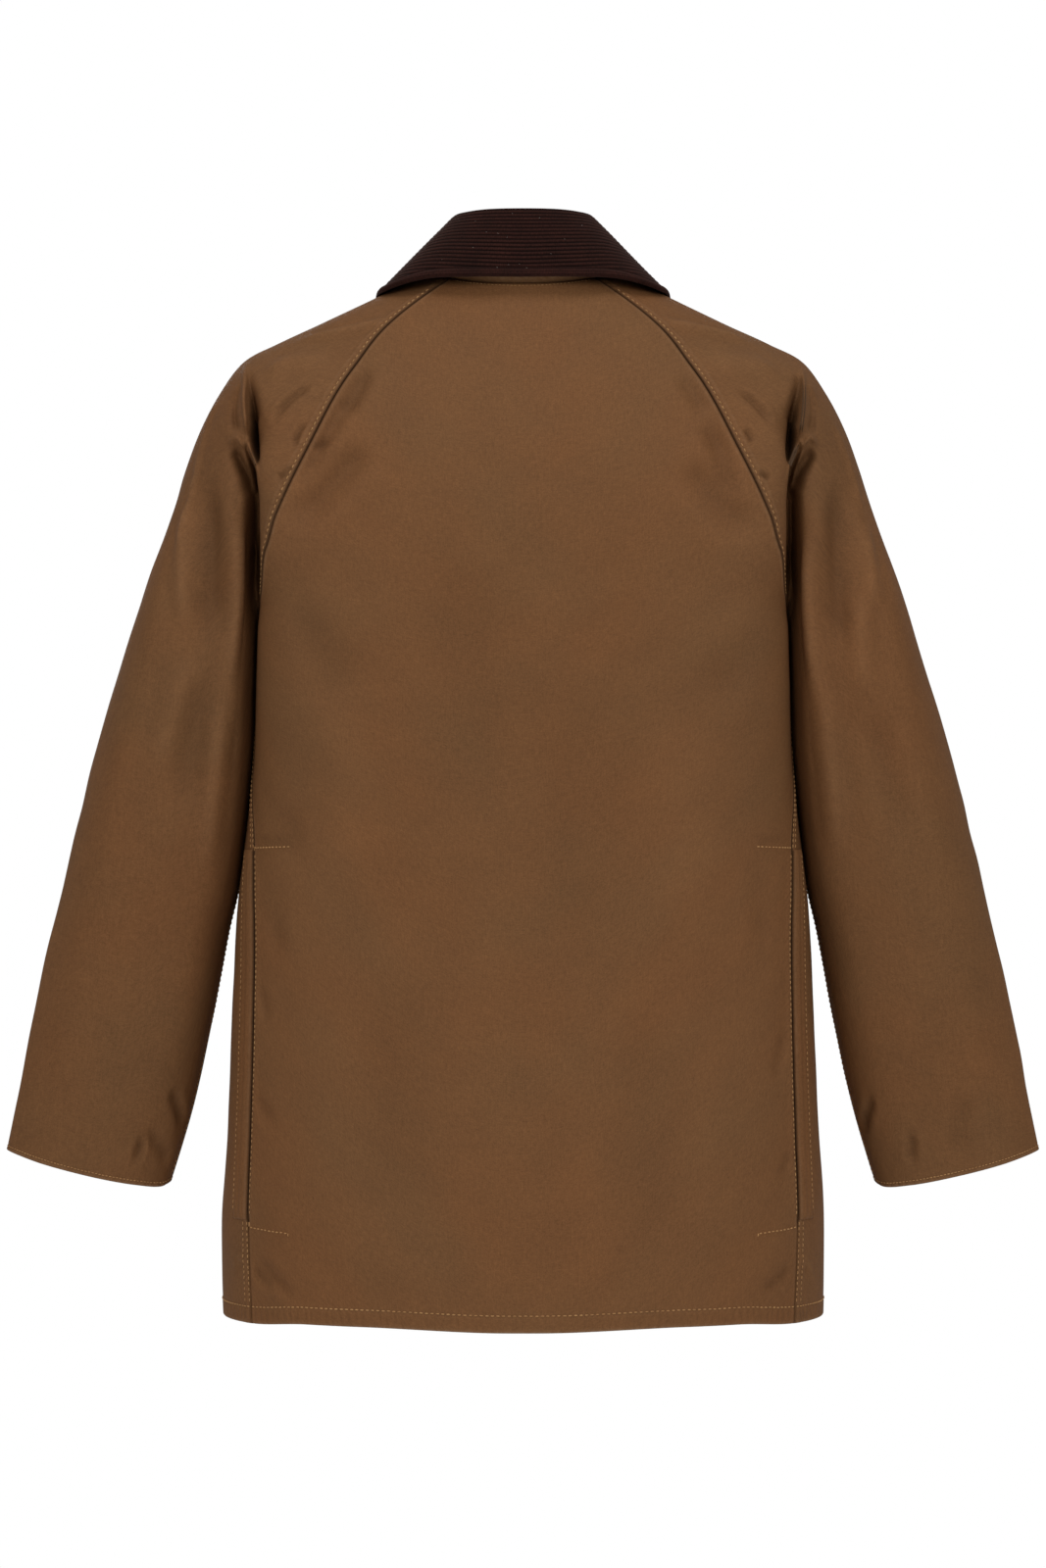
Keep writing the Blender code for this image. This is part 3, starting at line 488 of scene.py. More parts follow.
def slant(dense, end):
    """Sine of the angle between each row and the seam that it ends at."""
    row = dense[:, 1] - dense[:, 0] if end == 0 else dense[:, -1] - dense[:, -2]
    seam = np.gradient(dense[:, end], axis=0)
    made = np.linalg.norm(np.cross(unit(row), unit(seam)), axis=1)
    made = np.clip(np.convolve(np.pad(made, 4, mode="edge"), np.ones(9) / 9, mode="valid"), 0.5, 1.0)
    return made


def panel(dense, first, last, shares, outward):
    """Grid over a dense surface: fine columns in bands beside the seams, shares between them.

    near and far are distances square to the first and the last column, low and top those from
    the foot and from the neck along the cloth."""
    length = run(dense)
    near_sine, far_sine = slant(dense, 0), slant(dense, -1)
    pts, where_all = [], []
    index = np.arange(dense.shape[1])
    start = np.median([np.interp(BAND[-1], at, index) for at in length]) if first else 0.0
    end = np.median([np.interp(at[-1] - BAND[-1], at, index) for at in length]) if last else index[-1]
    for row, at in zip(dense, length):
        a = BAND / BAND[-1] * np.interp(start, index, at) if first else np.array([0.0])
        b = at[-1] - (BAND / BAND[-1] * (at[-1] - np.interp(end, index, at)) if last else np.array([0.0]))[::-1]
        where = np.concatenate([a, np.interp(start + (end - start) * np.asarray(shares), index, at), b])
        pts.append([[np.interp(w, at, row[:, k]) for k in range(3)] for w in where])
        where_all.append(where)
    pts, where = np.array(pts), np.array(where_all)
    normals = surface_normals(pts)
    probe = normals[len(pts) * 3 // 4, pts.shape[1] // 2]
    normals *= np.sign(np.dot(probe, outward))
    down = run(pts.transpose(1, 0, 2)).T
    return SimpleNamespace(
        pts=pts,
        normals=normals,
        near=where * near_sine[:, None],
        far=(where[:, -1:] - where) * far_sine[:, None],
        low=down[-1:] - down,
        top=down,
        across=where,
        rise=np.zeros(pts.shape[:2]),
        # paler wear (partly wax worn off, partly painted highlight), painted shade and light of the folds, and painted
        # shade in grooves and fold bottoms
        wear_and_highlight=np.zeros(pts.shape[:2]),
        tone=np.zeros(pts.shape[:2]),
        dark=np.zeros(pts.shape[:2]),
        crimp_x=np.zeros(pts.shape[:2]),
        crimp_y=np.zeros(pts.shape[:2]),
    )


def on_columns(dense, p, values):
    """Values of a dense surface at the panel's own columns."""
    length = run(dense)
    return np.array([np.interp(where, at, row) for where, at, row in zip(p.across, length, values)])


def value_noise(points, size, seed):
    """Smooth noise from -1 to 1 with features of this size, the same on every run."""
    lattice = np.random.default_rng(seed).uniform(-1, 1, (48, 48, 48))
    at = points / size + 1000.0
    cell = np.floor(at).astype(int)
    part = at - cell
    part = part * part * (3 - 2 * part)
    total = 0.0
    for i in (0, 1):
        for j in (0, 1):
            for k in (0, 1):
                weight = (
                    (part[..., 0] if i else 1 - part[..., 0])
                    * (part[..., 1] if j else 1 - part[..., 1])
                    * (part[..., 2] if k else 1 - part[..., 2])
                )
                total = total + weight * lattice[(cell[..., 0] + i) % 48, (cell[..., 1] + j) % 48, (cell[..., 2] + k) % 48]
    return total


def to_line(points, line):
    """Distance of each point from a line of points, and the share of the way along it."""
    best = np.full(points.shape[:-1], 1e9)
    place = np.zeros(points.shape[:-1])
    for k, (a, b) in enumerate(zip(line[:-1], line[1:])):
        leg = b - a
        t = np.clip(((points - a) @ leg) / max(leg @ leg, 1e-12), 0, 1)
        d = np.linalg.norm(points - a - t[..., None] * leg, axis=-1)
        nearer = d < best
        best = np.where(nearer, d, best)
        place = np.where(nearer, (k + t) / (len(line) - 1), place)
    return best, place


def bell(x):
    return np.exp(-(x**2))


def rounded(distance, width):
    """1 at an edge, falling as a quarter circle to 0 at this width."""
    t = np.clip(1 - distance / width, 0, 1)
    return 1 - np.sqrt(np.clip(1 - t * t, 0, 1))


# ---------------------------------------------------------------- creases
# Soft troughs (depth below 0) and ridges, each a curve through three places: how far across and
# how high on the face that it lies on. face is back or front (x, z) or out (y, z), and side says
# which sleeve or front has it, or which half of the back. inner is how much narrower it is on the
# side towards the body, and the last field how much shade is painted into its bottom. Each
# crease also paints shade and light into the cloth's colour: darker in troughs, lighter on ridges.
Crease = namedtuple("Crease", "piece side face a1 z1 a2 z2 a3 z3 width depth inner dark", defaults=(1.0, 0.0))
CREASES = (
    # shoulder
    Crease("sleeve", "left", "back", 0.1042, -0.0277, 0.1403, -0.0366, 0.1788, -0.0414, 0.0046, 0.0036),
    Crease("sleeve", "right", "back", 0.1080, -0.0285, 0.1420, -0.0352, 0.1800, -0.0425, 0.0048, 0.0036),
    Crease("sleeve", "left", "back", 0.1432, -0.0601, 0.1778, -0.0630, 0.2026, -0.0692, 0.0110, 0.0030),
    Crease("sleeve", "right", "back", 0.1390, -0.0580, 0.1720, -0.0640, 0.2010, -0.0660, 0.0120, 0.0033),
    # along the back of the sleeves
    Crease("sleeve", "left", "back", 0.2361, -0.0865, 0.2478, -0.1180, 0.2575, -0.1650, 0.0036, 0.0018),
    Crease("sleeve", "left", "back", 0.2588, -0.1690, 0.2641, -0.2145, 0.2603, -0.2755, 0.0064, 0.0034),
    Crease("sleeve", "left", "back", 0.2440, -0.1500, 0.2425, -0.2150, 0.2407, -0.2900, 0.0100, -0.0080),
    Crease("sleeve", "left", "back", 0.2490, -0.1280, 0.2585, -0.1720, 0.2665, -0.2110, 0.0020, 0.0023),
    Crease("sleeve", "right", "back", 0.2390, -0.1010, 0.2540, -0.1400, 0.2640, -0.1820, 0.0040, 0.0020),
    Crease("sleeve", "right", "back", 0.2640, -0.1820, 0.2690, -0.2200, 0.2730, -0.2560, 0.0064, 0.0030),
    Crease("sleeve", "right", "back", 0.2440, -0.1500, 0.2450, -0.2200, 0.2425, -0.3000, 0.0105, -0.0076),
    Crease("sleeve", "right", "back", 0.2600, -0.2400, 0.2600, -0.2800, 0.2660, -0.3300, 0.0083, 0.0036),
    Crease("sleeve", "left", "back", 0.2590, -0.2900, 0.2680, -0.3350, 0.2900, -0.3900, 0.0101, 0.0036),
    Crease("sleeve", "left", "back", 0.2480, -0.3000, 0.2570, -0.3550, 0.2600, -0.4200, 0.0110, -0.0042),
    Crease("sleeve", "right", "back", 0.2700, -0.3300, 0.2840, -0.3800, 0.2980, -0.4450, 0.0110, -0.0033),
    Crease("sleeve", "left", "back", 0.2192, -0.1800, 0.2215, -0.2450, 0.2290, -0.3300, 0.0060, 0.0042),
    Crease("sleeve", "left", "back", 0.2320, -0.3200, 0.2400, -0.3900, 0.2480, -0.4700, 0.0083, 0.0042),
    Crease("sleeve", "right", "back", 0.2192, -0.1860, 0.2212, -0.2560, 0.2285, -0.3300, 0.0060, 0.0043),
    Crease("sleeve", "right", "back", 0.2300, -0.3000, 0.2380, -0.3700, 0.2470, -0.4600, 0.0087, 0.0042),
    # puckers beside the back raglan seams
    Crease("sleeve", "left", "back", 0.1624, -0.0831, 0.1783, -0.0906, 0.1955, -0.1127, 0.0036, -0.0036),
    Crease("sleeve", "left", "back", 0.1656, -0.1105, 0.1730, -0.1197, 0.1743, -0.1321, 0.0022, -0.0030),
    Crease("sleeve", "left", "back", 0.1756, -0.1443, 0.1831, -0.1518, 0.1892, -0.1555, 0.0026, -0.0030),
    Crease("sleeve", "right", "back", 0.1660, -0.0860, 0.1790, -0.0950, 0.1930, -0.1140, 0.0036, -0.0034),
    Crease("sleeve", "right", "back", 0.1690, -0.1160, 0.1740, -0.1210, 0.1755, -0.1290, 0.0023, -0.0033),
    Crease("sleeve", "right", "back", 0.1800, -0.1480, 0.1850, -0.1530, 0.1910, -0.1540, 0.0024, -0.0028),
    Crease("back", "left", "back", 0.1194, -0.0639, 0.1296, -0.0877, 0.1391, -0.1063, 0.0075, -0.0055),
    Crease("back", "left", "back", 0.1486, -0.1233, 0.1561, -0.1278, 0.1637, -0.1322, 0.0036, -0.0034),
    Crease("back", "left", "back", 0.1169, -0.1282, 0.1452, -0.1570, 0.1781, -0.1982, 0.0120, -0.0072),
    Crease("back", "left", "back", 0.1342, -0.0836, 0.1531, -0.1263, 0.1753, -0.1642, 0.0080, -0.0046),
    Crease("back", "right", "back", 0.1390, -0.1080, 0.1530, -0.1380, 0.1600, -0.1740, 0.0080, -0.0055),
    Crease("back", "right", "back", 0.1220, -0.0700, 0.1330, -0.0900, 0.1430, -0.1040, 0.0078, -0.0036),
    Crease("back", "right", "back", 0.1250, -0.1400, 0.1480, -0.1700, 0.1800, -0.2050, 0.0125, -0.0060),
    # across the back, very soft
    Crease("back", "left", "back", 0.1850, -0.2450, 0.1600, -0.2850, 0.1250, -0.3300, 0.0184, -0.0031),
    Crease("back", "right", "back", 0.1880, -0.2600, 0.1690, -0.2980, 0.1300, -0.3250, 0.0166, -0.0027),
    Crease("back", "left", "back", 0.1500, -0.3100, 0.1350, -0.3900, 0.1400, -0.4900, 0.0239, 0.0027),
    Crease("back", "right", "back", 0.1200, -0.3300, 0.1250, -0.4200, 0.1150, -0.5300, 0.0276, 0.0026),
    Crease("back", "left", "back", 0.0500, -0.2100, 0.0350, -0.3200, 0.0420, -0.4500, 0.0294, -0.0027),
    Crease("back", "right", "back", 0.0300, -0.3000, 0.0420, -0.4300, 0.0350, -0.5800, 0.0313, -0.0026),
    Crease("back", "left", "back", 0.0900, -0.5200, 0.1000, -0.6300, 0.0850, -0.7600, 0.0276, -0.0031),
    Crease("back", "right", "back", 0.1050, -0.5600, 0.0950, -0.6700, 0.1100, -0.7800, 0.0258, -0.0029),
    # beside and under the pocket slits
    Crease("back", "left", "back", 0.2060, -0.4310, 0.1910, -0.4330, 0.1760, -0.4325, 0.0037, -0.0030),
    Crease("back", "left", "back", 0.1800, -0.4050, 0.1795, -0.4250, 0.1770, -0.4550, 0.0092, -0.0033),
    Crease("back", "left", "back", 0.1960, -0.4550, 0.1900, -0.4900, 0.1920, -0.5300, 0.0074, -0.0027),
    Crease("back", "left", "back", 0.2050, -0.5450, 0.2000, -0.5600, 0.1980, -0.5750, 0.0046, -0.0021),
    Crease("back", "left", "back", 0.2070, -0.6250, 0.2010, -0.6400, 0.1890, -0.6500, 0.0055, -0.0023),
    Crease("back", "right", "back", 0.2040, -0.4290, 0.1900, -0.4320, 0.1740, -0.4300, 0.0039, -0.0030),
    Crease("back", "right", "back", 0.1850, -0.4500, 0.1830, -0.4800, 0.1870, -0.5200, 0.0092, -0.0030),
    Crease("back", "right", "back", 0.2060, -0.5800, 0.1990, -0.5980, 0.1960, -0.6250, 0.0051, -0.0023),
    Crease("back", "right", "back", 0.2080, -0.6700, 0.2020, -0.6850, 0.1950, -0.6950, 0.0046, -0.0021),
    Crease("back", "left", "back", 0.2085, -0.7620, 0.2030, -0.7700, 0.1900, -0.7780, 0.0037, -0.0030),
    Crease("back", "left", "back", 0.2050, -0.7580, 0.1930, -0.7680, 0.1740, -0.7860, 0.0046, -0.0027),
    Crease("back", "right", "back", 0.2070, -0.7600, 0.1980, -0.7700, 0.1820, -0.7800, 0.0041, -0.0030),
    Crease("front", "left", "back", 0.2245, -0.7735, 0.2215, -0.7590, 0.2120, -0.7560, 0.0028, 0.0023),
    Crease("front", "right", "back", 0.2250, -0.7760, 0.2205, -0.7610, 0.2125, -0.7590, 0.0028, 0.0023),
    # cuffs
    Crease("sleeve", "left", "back", 0.2770, -0.6280, 0.2715, -0.6450, 0.2680, -0.6620, 0.0041, -0.0042),
    Crease("sleeve", "left", "back", 0.2990, -0.6660, 0.3020, -0.6780, 0.3050, -0.6880, 0.0032, -0.0039),
    Crease("sleeve", "left", "back", 0.2780, -0.6860, 0.2860, -0.6760, 0.2960, -0.6580, 0.0055, -0.0036),
    Crease("sleeve", "right", "back", 0.2760, -0.6330, 0.2710, -0.6500, 0.2690, -0.6650, 0.0039, -0.0039),
    Crease("sleeve", "right", "back", 0.3050, -0.6620, 0.3060, -0.6760, 0.3040, -0.6890, 0.0035, -0.0036),
    Crease("sleeve", "right", "back", 0.3500, -0.6350, 0.3440, -0.6600, 0.3430, -0.6900, 0.0074, -0.0030),
    # outside of the arms
    Crease("sleeve", "left", "out", 0.0300, -0.1500, 0.0080, -0.1900, -0.0120, -0.2450, 0.0160, -0.0013),
    Crease("sleeve", "right", "out", 0.0200, -0.1400, 0.0060, -0.1950, -0.0200, -0.2350, 0.0170, -0.0012),
    Crease("sleeve", "left", "out", 0.0350, -0.3950, 0.0050, -0.4050, -0.0350, -0.3850, 0.0150, -0.0007),
    Crease("sleeve", "right", "out", 0.0250, -0.4200, -0.0020, -0.4250, -0.0320, -0.4050, 0.0150, -0.0006),
    Crease("sleeve", "left", "out", 0.0080, -0.4700, -0.0050, -0.5500, -0.0130, -0.6400, 0.0120, 0.0012),
    Crease("sleeve", "right", "out", 0.0120, -0.4900, -0.0080, -0.5700, -0.0100, -0.6300, 0.0130, 0.0012),
    # front of the arms: armhole folds, then the bend of the elbow
    Crease("sleeve", "left", "front", 0.2120, -0.0800, 0.2105, -0.1050, 0.2075, -0.1330, 0.0055, -0.0050),
    Crease("sleeve", "left", "front", 0.2210, -0.0780, 0.2200, -0.1020, 0.2160, -0.1260, 0.0042, 0.0028),
    Crease("sleeve", "left", "front", 0.2310, -0.0850, 0.2320, -0.1100, 0.2280, -0.1320, 0.0080, -0.0030),
    Crease("sleeve", "left", "front", 0.2240, -0.1400, 0.2200, -0.1650, 0.2160, -0.1900, 0.0070, -0.0032),
    Crease("sleeve", "left", "front", 0.2430, -0.1050, 0.2580, -0.1500, 0.2680, -0.2000, 0.0070, 0.0018),
    Crease("sleeve", "right", "front", 0.2100, -0.0820, 0.2090, -0.1080, 0.2080, -0.1280, 0.0058, -0.0048),
    Crease("sleeve", "right", "front", 0.2190, -0.0760, 0.2210, -0.1050, 0.2180, -0.1300, 0.0044, 0.0026),
    Crease("sleeve", "right", "front", 0.2300, -0.0900, 0.2330, -0.1150, 0.2300, -0.1400, 0.0085, -0.0028),
    Crease("sleeve", "right", "front", 0.2250, -0.1480, 0.2210, -0.1700, 0.2180, -0.2000, 0.0065, -0.0030),
    Crease("sleeve", "right", "front", 0.2460, -0.1150, 0.2600, -0.1600, 0.2660, -0.2100, 0.0075, 0.0016),
    Crease("sleeve", "left", "front", 0.2500, -0.3700, 0.2760, -0.3850, 0.3150, -0.3780, 0.0075, -0.0030),
    Crease("sleeve", "left", "front", 0.2560, -0.3950, 0.2800, -0.4060, 0.3080, -0.4020, 0.0060, -0.0022),
    Crease("sleeve", "left", "front", 0.2580, -0.4250, 0.2850, -0.4270, 0.3250, -0.4120, 0.0085, -0.0024),
    Crease("sleeve", "right", "front", 0.2520, -0.3800, 0.2800, -0.3900, 0.3120, -0.3800, 0.0080, -0.0028),
    Crease("sleeve", "right", "front", 0.2600, -0.4120, 0.2900, -0.4160, 0.3280, -0.4050, 0.0070, -0.0026),
    Crease("sleeve", "right", "front", 0.2650, -0.4400, 0.2850, -0.4470, 0.3100, -0.4400, 0.0060, -0.0016),
    Crease("sleeve", "left", "front", 0.2900, -0.5200, 0.3000, -0.5900, 0.3180, -0.6700, 0.0110, -0.0016),
    Crease("sleeve", "right", "front", 0.3050, -0.5000, 0.3080, -0.5800, 0.3250, -0.6600, 0.0120, -0.0015),
    # fronts: from the shoulders to the chest, from the armholes, and down to the hem
    Crease("front", "left", "front", 0.1000, -0.0900, 0.1150, -0.1450, 0.1250, -0.2000, 0.0130, -0.0020),
    Crease("front", "left", "front", 0.1450, -0.1550, 0.1350, -0.2050, 0.1050, -0.2500, 0.0150, -0.0020),
    Crease("front", "left", "front", 0.1800, -0.2300, 0.1550, -0.2750, 0.1200, -0.3100, 0.0140, -0.0022),
    Crease("front", "left", "front", 0.0800, -0.3600, 0.0950, -0.4700, 0.0850, -0.5900, 0.0250, -0.0020),
    Crease("front", "left", "front", 0.1500, -0.4200, 0.1400, -0.5300, 0.1550, -0.6600, 0.0240, 0.0020),
    Crease("front", "left", "front", 0.1100, -0.6200, 0.1000, -0.7000, 0.1150, -0.7800, 0.0180, -0.0018),
    Crease("front", "right", "front", 0.0950, -0.0950, 0.1080, -0.1500, 0.1300, -0.2100, 0.0120, -0.0019),
    Crease("front", "right", "front", 0.1500, -0.1650, 0.1320, -0.2150, 0.1080, -0.2450, 0.0140, -0.0018),
    Crease("front", "right", "front", 0.1820, -0.2400, 0.1600, -0.2900, 0.1300, -0.3350, 0.0150, -0.0022),
    Crease("front", "right", "front", 0.0950, -0.3400, 0.0850, -0.4500, 0.1000, -0.5700, 0.0260, -0.0019),
    Crease("front", "right", "front", 0.1550, -0.4500, 0.1480, -0.5600, 0.1420, -0.6900, 0.0230, 0.0018),
    Crease("front", "right", "front", 0.1050, -0.6400, 0.1180, -0.7100, 0.1050, -0.7850, 0.0190, -0.0017),
)


# Folds behind the arms, on the back of the sleeves. Each bends the cloth to its own depths (y)
# along a line through four places, over the width near on the side towards the body and far on the
# other one. hold is how much of that depth it gets, and the last field how much shade is painted
# into its bottom.
Fold = namedtuple("Fold", "side x1 z1 y1 x2 z2 y2 x3 z3 y3 x4 z4 y4 near far hold dark")
FOLDS = (
    Fold("left", 0.2153, -0.0648, 0.046, 0.2114, -0.0812, 0.060, 0.2084, -0.0972, 0.060, 0.2067, -0.1121, 0.055, 0.0033, 0.0038, 1.00, 0.10),
    Fold("left", 0.2073, -0.1024, 0.058, 0.2062, -0.1155, 0.050, 0.2055, -0.1278, 0.050, 0.2037, -0.1438, 0.062, 0.0014, 0.0033, 1.00, 0.70),
    Fold("left", 0.2176, -0.0586, 0.045, 0.2163, -0.0773, 0.068, 0.2160, -0.0937, 0.083, 0.2126, -0.1232, 0.093, 0.0014, 0.0014, 1.00, 0.00),
    Fold("left", 0.2205, -0.0761, 0.054, 0.2233, -0.0910, 0.058, 0.2233, -0.1052, 0.065, 0.2199, -0.1179, 0.072, 0.0026, 0.0036, 0.95, 0.15),
    Fold("left", 0.2111, -0.1201, 0.092, 0.2159, -0.1263, 0.094, 0.2217, -0.1220, 0.092, 0.2275, -0.1271, 0.084, 0.0014, 0.0012, 1.00, 0.00),
    Fold("left", 0.2133, -0.1217, 0.093, 0.2094, -0.1331, 0.095, 0.2055, -0.1425, 0.099, 0.2003, -0.1586, 0.104, 0.0014, 0.0018, 1.00, 0.00),
    Fold("left", 0.2239, -0.1271, 0.074, 0.2176, -0.1391, 0.071, 0.2113, -0.1526, 0.068, 0.2068, -0.1678, 0.068, 0.0027, 0.0064, 1.00, 0.20),
    Fold("left", 0.2061, -0.1593, 0.066, 0.2047, -0.1729, 0.066, 0.2046, -0.1894, 0.064, 0.2058, -0.2100, 0.050, 0.0014, 0.0041, 1.00, 0.00),
    Fold("right", 0.2164, -0.0678, 0.046, 0.2134, -0.0833, 0.058, 0.2098, -0.0987, 0.060, 0.2071, -0.1127, 0.053, 0.0035, 0.0040, 1.00, 0.10),
    Fold("right", 0.2077, -0.1039, 0.058, 0.2064, -0.1155, 0.050, 0.2056, -0.1278, 0.050, 0.2043, -0.1423, 0.062, 0.0014, 0.0033, 1.00, 0.70),
    Fold("right", 0.2184, -0.0601, 0.045, 0.2182, -0.0821, 0.071, 0.2168, -0.1000, 0.086, 0.2133, -0.1232, 0.093, 0.0014, 0.0014, 1.00, 0.00),
    Fold("right", 0.2222, -0.0745, 0.052, 0.2253, -0.0901, 0.057, 0.2248, -0.1060, 0.065, 0.2214, -0.1179, 0.072, 0.0027, 0.0038, 0.95, 0.15),
    Fold("right", 0.2119, -0.1208, 0.092, 0.2163, -0.1266, 0.094, 0.2225, -0.1212, 0.092, 0.2282, -0.1278, 0.084, 0.0014, 0.0012, 1.00, 0.00),
    Fold("right", 0.2133, -0.1224, 0.093, 0.2087, -0.1346, 0.095, 0.2047, -0.1455, 0.099, 0.2007, -0.1601, 0.104, 0.0014, 0.0018, 1.00, 0.00),
    Fold("right", 0.2243, -0.1287, 0.074, 0.2180, -0.1383, 0.071, 0.2106, -0.1503, 0.068, 0.2060, -0.1640, 0.068, 0.0026, 0.0064, 1.00, 0.20),
    Fold("right", 0.2061, -0.1608, 0.066, 0.2050, -0.1744, 0.066, 0.2049, -0.1894, 0.064, 0.2061, -0.2115, 0.050, 0.0014, 0.0041, 1.00, 0.00),
)


def folded(dense, side):
    """Bend a sleeve's dense surface to its folds, and give the shade that they paint into its colour."""
    made, dark = dense.copy(), np.zeros(dense.shape[:2])
    length = run(dense)
    keep = smooth_step((length - 0.004) / 0.012) * (length < length[:, -1:] * 0.5)
    for f in FOLDS:
        if f.side != side:
            continue
        t = np.linspace(0, 1, 40)
        places = np.array([(f.x1, f.z1, f.y1), (f.x2, f.z2, f.y2), (f.x3, f.z3, f.y3), (f.x4, f.z4, f.y4)])
        line = through([0, 1 / 3, 2 / 3, 1], places, t)
        reach = 3.0 * max(f.near, f.far)
        low, high = line[:, :2].min(axis=0) - reach, line[:, :2].max(axis=0) + reach
        flat = made[..., [0, 2]]
        at = np.all((flat > low) & (flat < high), axis=-1) & (keep > 0)
        d, share = to_line(flat[at], line[:, :2])
        beside = flat[at][:, 0] - np.interp(share, t, line[:, 0])
        blend = smooth_step(beside / 0.0012 * 0.5 + 0.5)
        width = f.near + (f.far - f.near) * blend
        ends = smooth_step(share / 0.18) * smooth_step((1 - share) / 0.18)
        shape = bell(d / width) * ends
        level = np.interp(share, t, line[:, 2])
        made[at, 1] += f.hold * keep[at] * shape * (level - made[at, 1])
        dark[at] = np.maximum(dark[at], f.dark * keep[at] * shape)
    bend = made[..., 1] - dense[..., 1]
    for axis, times in ((0, 2), (1, 7)):  # round the places where lines turn
        for _ in range(times):
            bend = (np.roll(bend, 1, axis) + 2 * bend + np.roll(bend, -1, axis)) / 4
            dark = (np.roll(dark, 1, axis) + 2 * dark + np.roll(dark, -1, axis)) / 4
    made[..., 1] = dense[..., 1] + bend
    return made, dark


def crease_line(p, c, mirror):
    """Points of a crease, set on the panel's face."""
    t = np.linspace(0, 1, 22)
    weights = (2 * (t - 0.5) * (t - 1), -4 * t * (t - 1), 2 * t * (t - 0.5))
    a = sum(w * v for w, v in zip(weights, (c.a1, c.a2, c.a3)))
    z = sum(w * v for w, v in zip(weights, (c.z1, c.z2, c.z3)))
    axis = 1 if c.face == "out" else 0
    if axis == 0:
        a = a * mirror
    normal = p.normals[..., 0 if c.face == "out" else 1] * (-1 if c.face == "front" else 1)
    on = p.pts[normal > 0.05]
    gap = (on[None, :, axis] - a[:, None]) ** 2 + (on[None, :, 2] - z[:, None]) ** 2
    line = on[np.argmin(gap, axis=1)].copy()
    line[:, axis], line[:, 2] = a, z
    line[1:-1] = (line[:-2] + 2 * line[1:-1] + line[2:]) / 4
    return line


def crease(p, piece, side, mirror=1.0):
    """Add a piece's own creases to its rise, and paint their light and shade into the cloth's colour: darker troughs
    with painted shade at their bottoms, and lighter ridges, partly wax worn off and partly painted highlight.
    """
    for c in CREASES:
        if c.piece != piece or c.side != side:
            continue
        line = crease_line(p, c, mirror)
        low, high = line.min(axis=0) - 3.2 * c.width, line.max(axis=0) + 3.2 * c.width
        near = np.all((p.pts > low) & (p.pts < high), axis=-1)
        d, t = to_line(p.pts[near], line)
        fade = smooth_step(t / 0.30) * smooth_step((1 - t) / 0.30)
        level = np.interp(t, np.linspace(0, 1, len(line)), np.abs(line[:, 0]))
        q = d / (c.width * np.where(np.abs(p.pts[near][:, 0]) < level, c.inner, 1.0))
        shape = (bell(q) - 0.20 * bell((q - 1.9) / 0.8)) * fade
        p.rise[near] += c.depth * shape
        # painted shade in troughs and painted light on ridges, in the cloth's colour
        p.tone[near] += np.sign(c.depth) * min(0.7, abs(c.depth) / 0.0055) * min(1.0, c.width / 0.0075) * shape
        if c.depth < 0:
            steep = min(1.0, max(0.0, -c.depth / c.width - 0.30))
            # painted shade at the bottom of a trough
            p.dark[near] += max(c.dark, 0.3 * steep) * bell(q) * fade
        else:
            steep = min(1.0, max(0.0, c.depth / c.width - 0.20))
            # paler ridge: partly wax worn off, partly painted highlight
            p.wear_and_highlight[near] += 0.35 * steep * bell(q * 1.3) * fade


def apart(p, body):
    """1 where the cloth is free to move, 0 where the sleeves and the body lie close together."""
    z = p.pts[..., 2]
    height = smooth_step((-0.185 - z) / 0.05) * smooth_step((z + 0.520) / 0.04)
    facing = np.abs(p.normals[..., 0]) if body else -p.normals[..., 0]
    return 1 - height * smooth_step((facing - (0.35 if body else 0.72)) / (0.35 if body else 0.20))


def settle(p, seed, free):
    """Soft unevenness of the cloth, kept off the places where pieces lie close together."""
    p.rise += 0.0007 * value_noise(p.pts, 0.075, seed)
    p.rise += 0.0003 * value_noise(p.pts, 0.028, seed + 1)
    p.rise *= free


def tree_of(grid):
    rows, columns = grid.shape[:2]
    index = np.arange(rows * columns).reshape(rows, columns)
    quads = np.stack([index[:-1, :-1], index[1:, :-1], index[1:, 1:], index[:-1, 1:]], -1).reshape(-1, 4)
    return BVHTree.FromPolygons([tuple(v) for v in grid.reshape(-1, 3)], quads.tolist())


def kept_clear(p, trees, clear):
    """Hold the sleeve's rises back where they would meet the body."""
    low = np.where((p.pts[..., 2] < -0.15) & (p.pts[..., 2] > -0.60) & (p.normals[..., 0] < 0.5) & (p.rise > 0))
    for i, j in zip(*low):
        point = Vector(p.pts[i, j])
        room = min((tree.find_nearest(point, 0.03)[3] or 0.03) for tree in trees)
        p.rise[i, j] = min(p.rise[i, j], max(0.0, 0.9 * room - clear))


def seam_lip(p, distance, amount=1.0):
    p.rise -= LIP_DEPTH * amount * rounded(distance, LIP_WIDTH)
    # painted shade in the seam's groove, and beside it a paler band on the lip, partly wax worn off and partly painted
    # highlight
    p.dark += amount * bell(distance / 0.0014)
    p.wear_and_highlight += 0.35 * amount * bell((distance - 0.0024) / 0.0010)


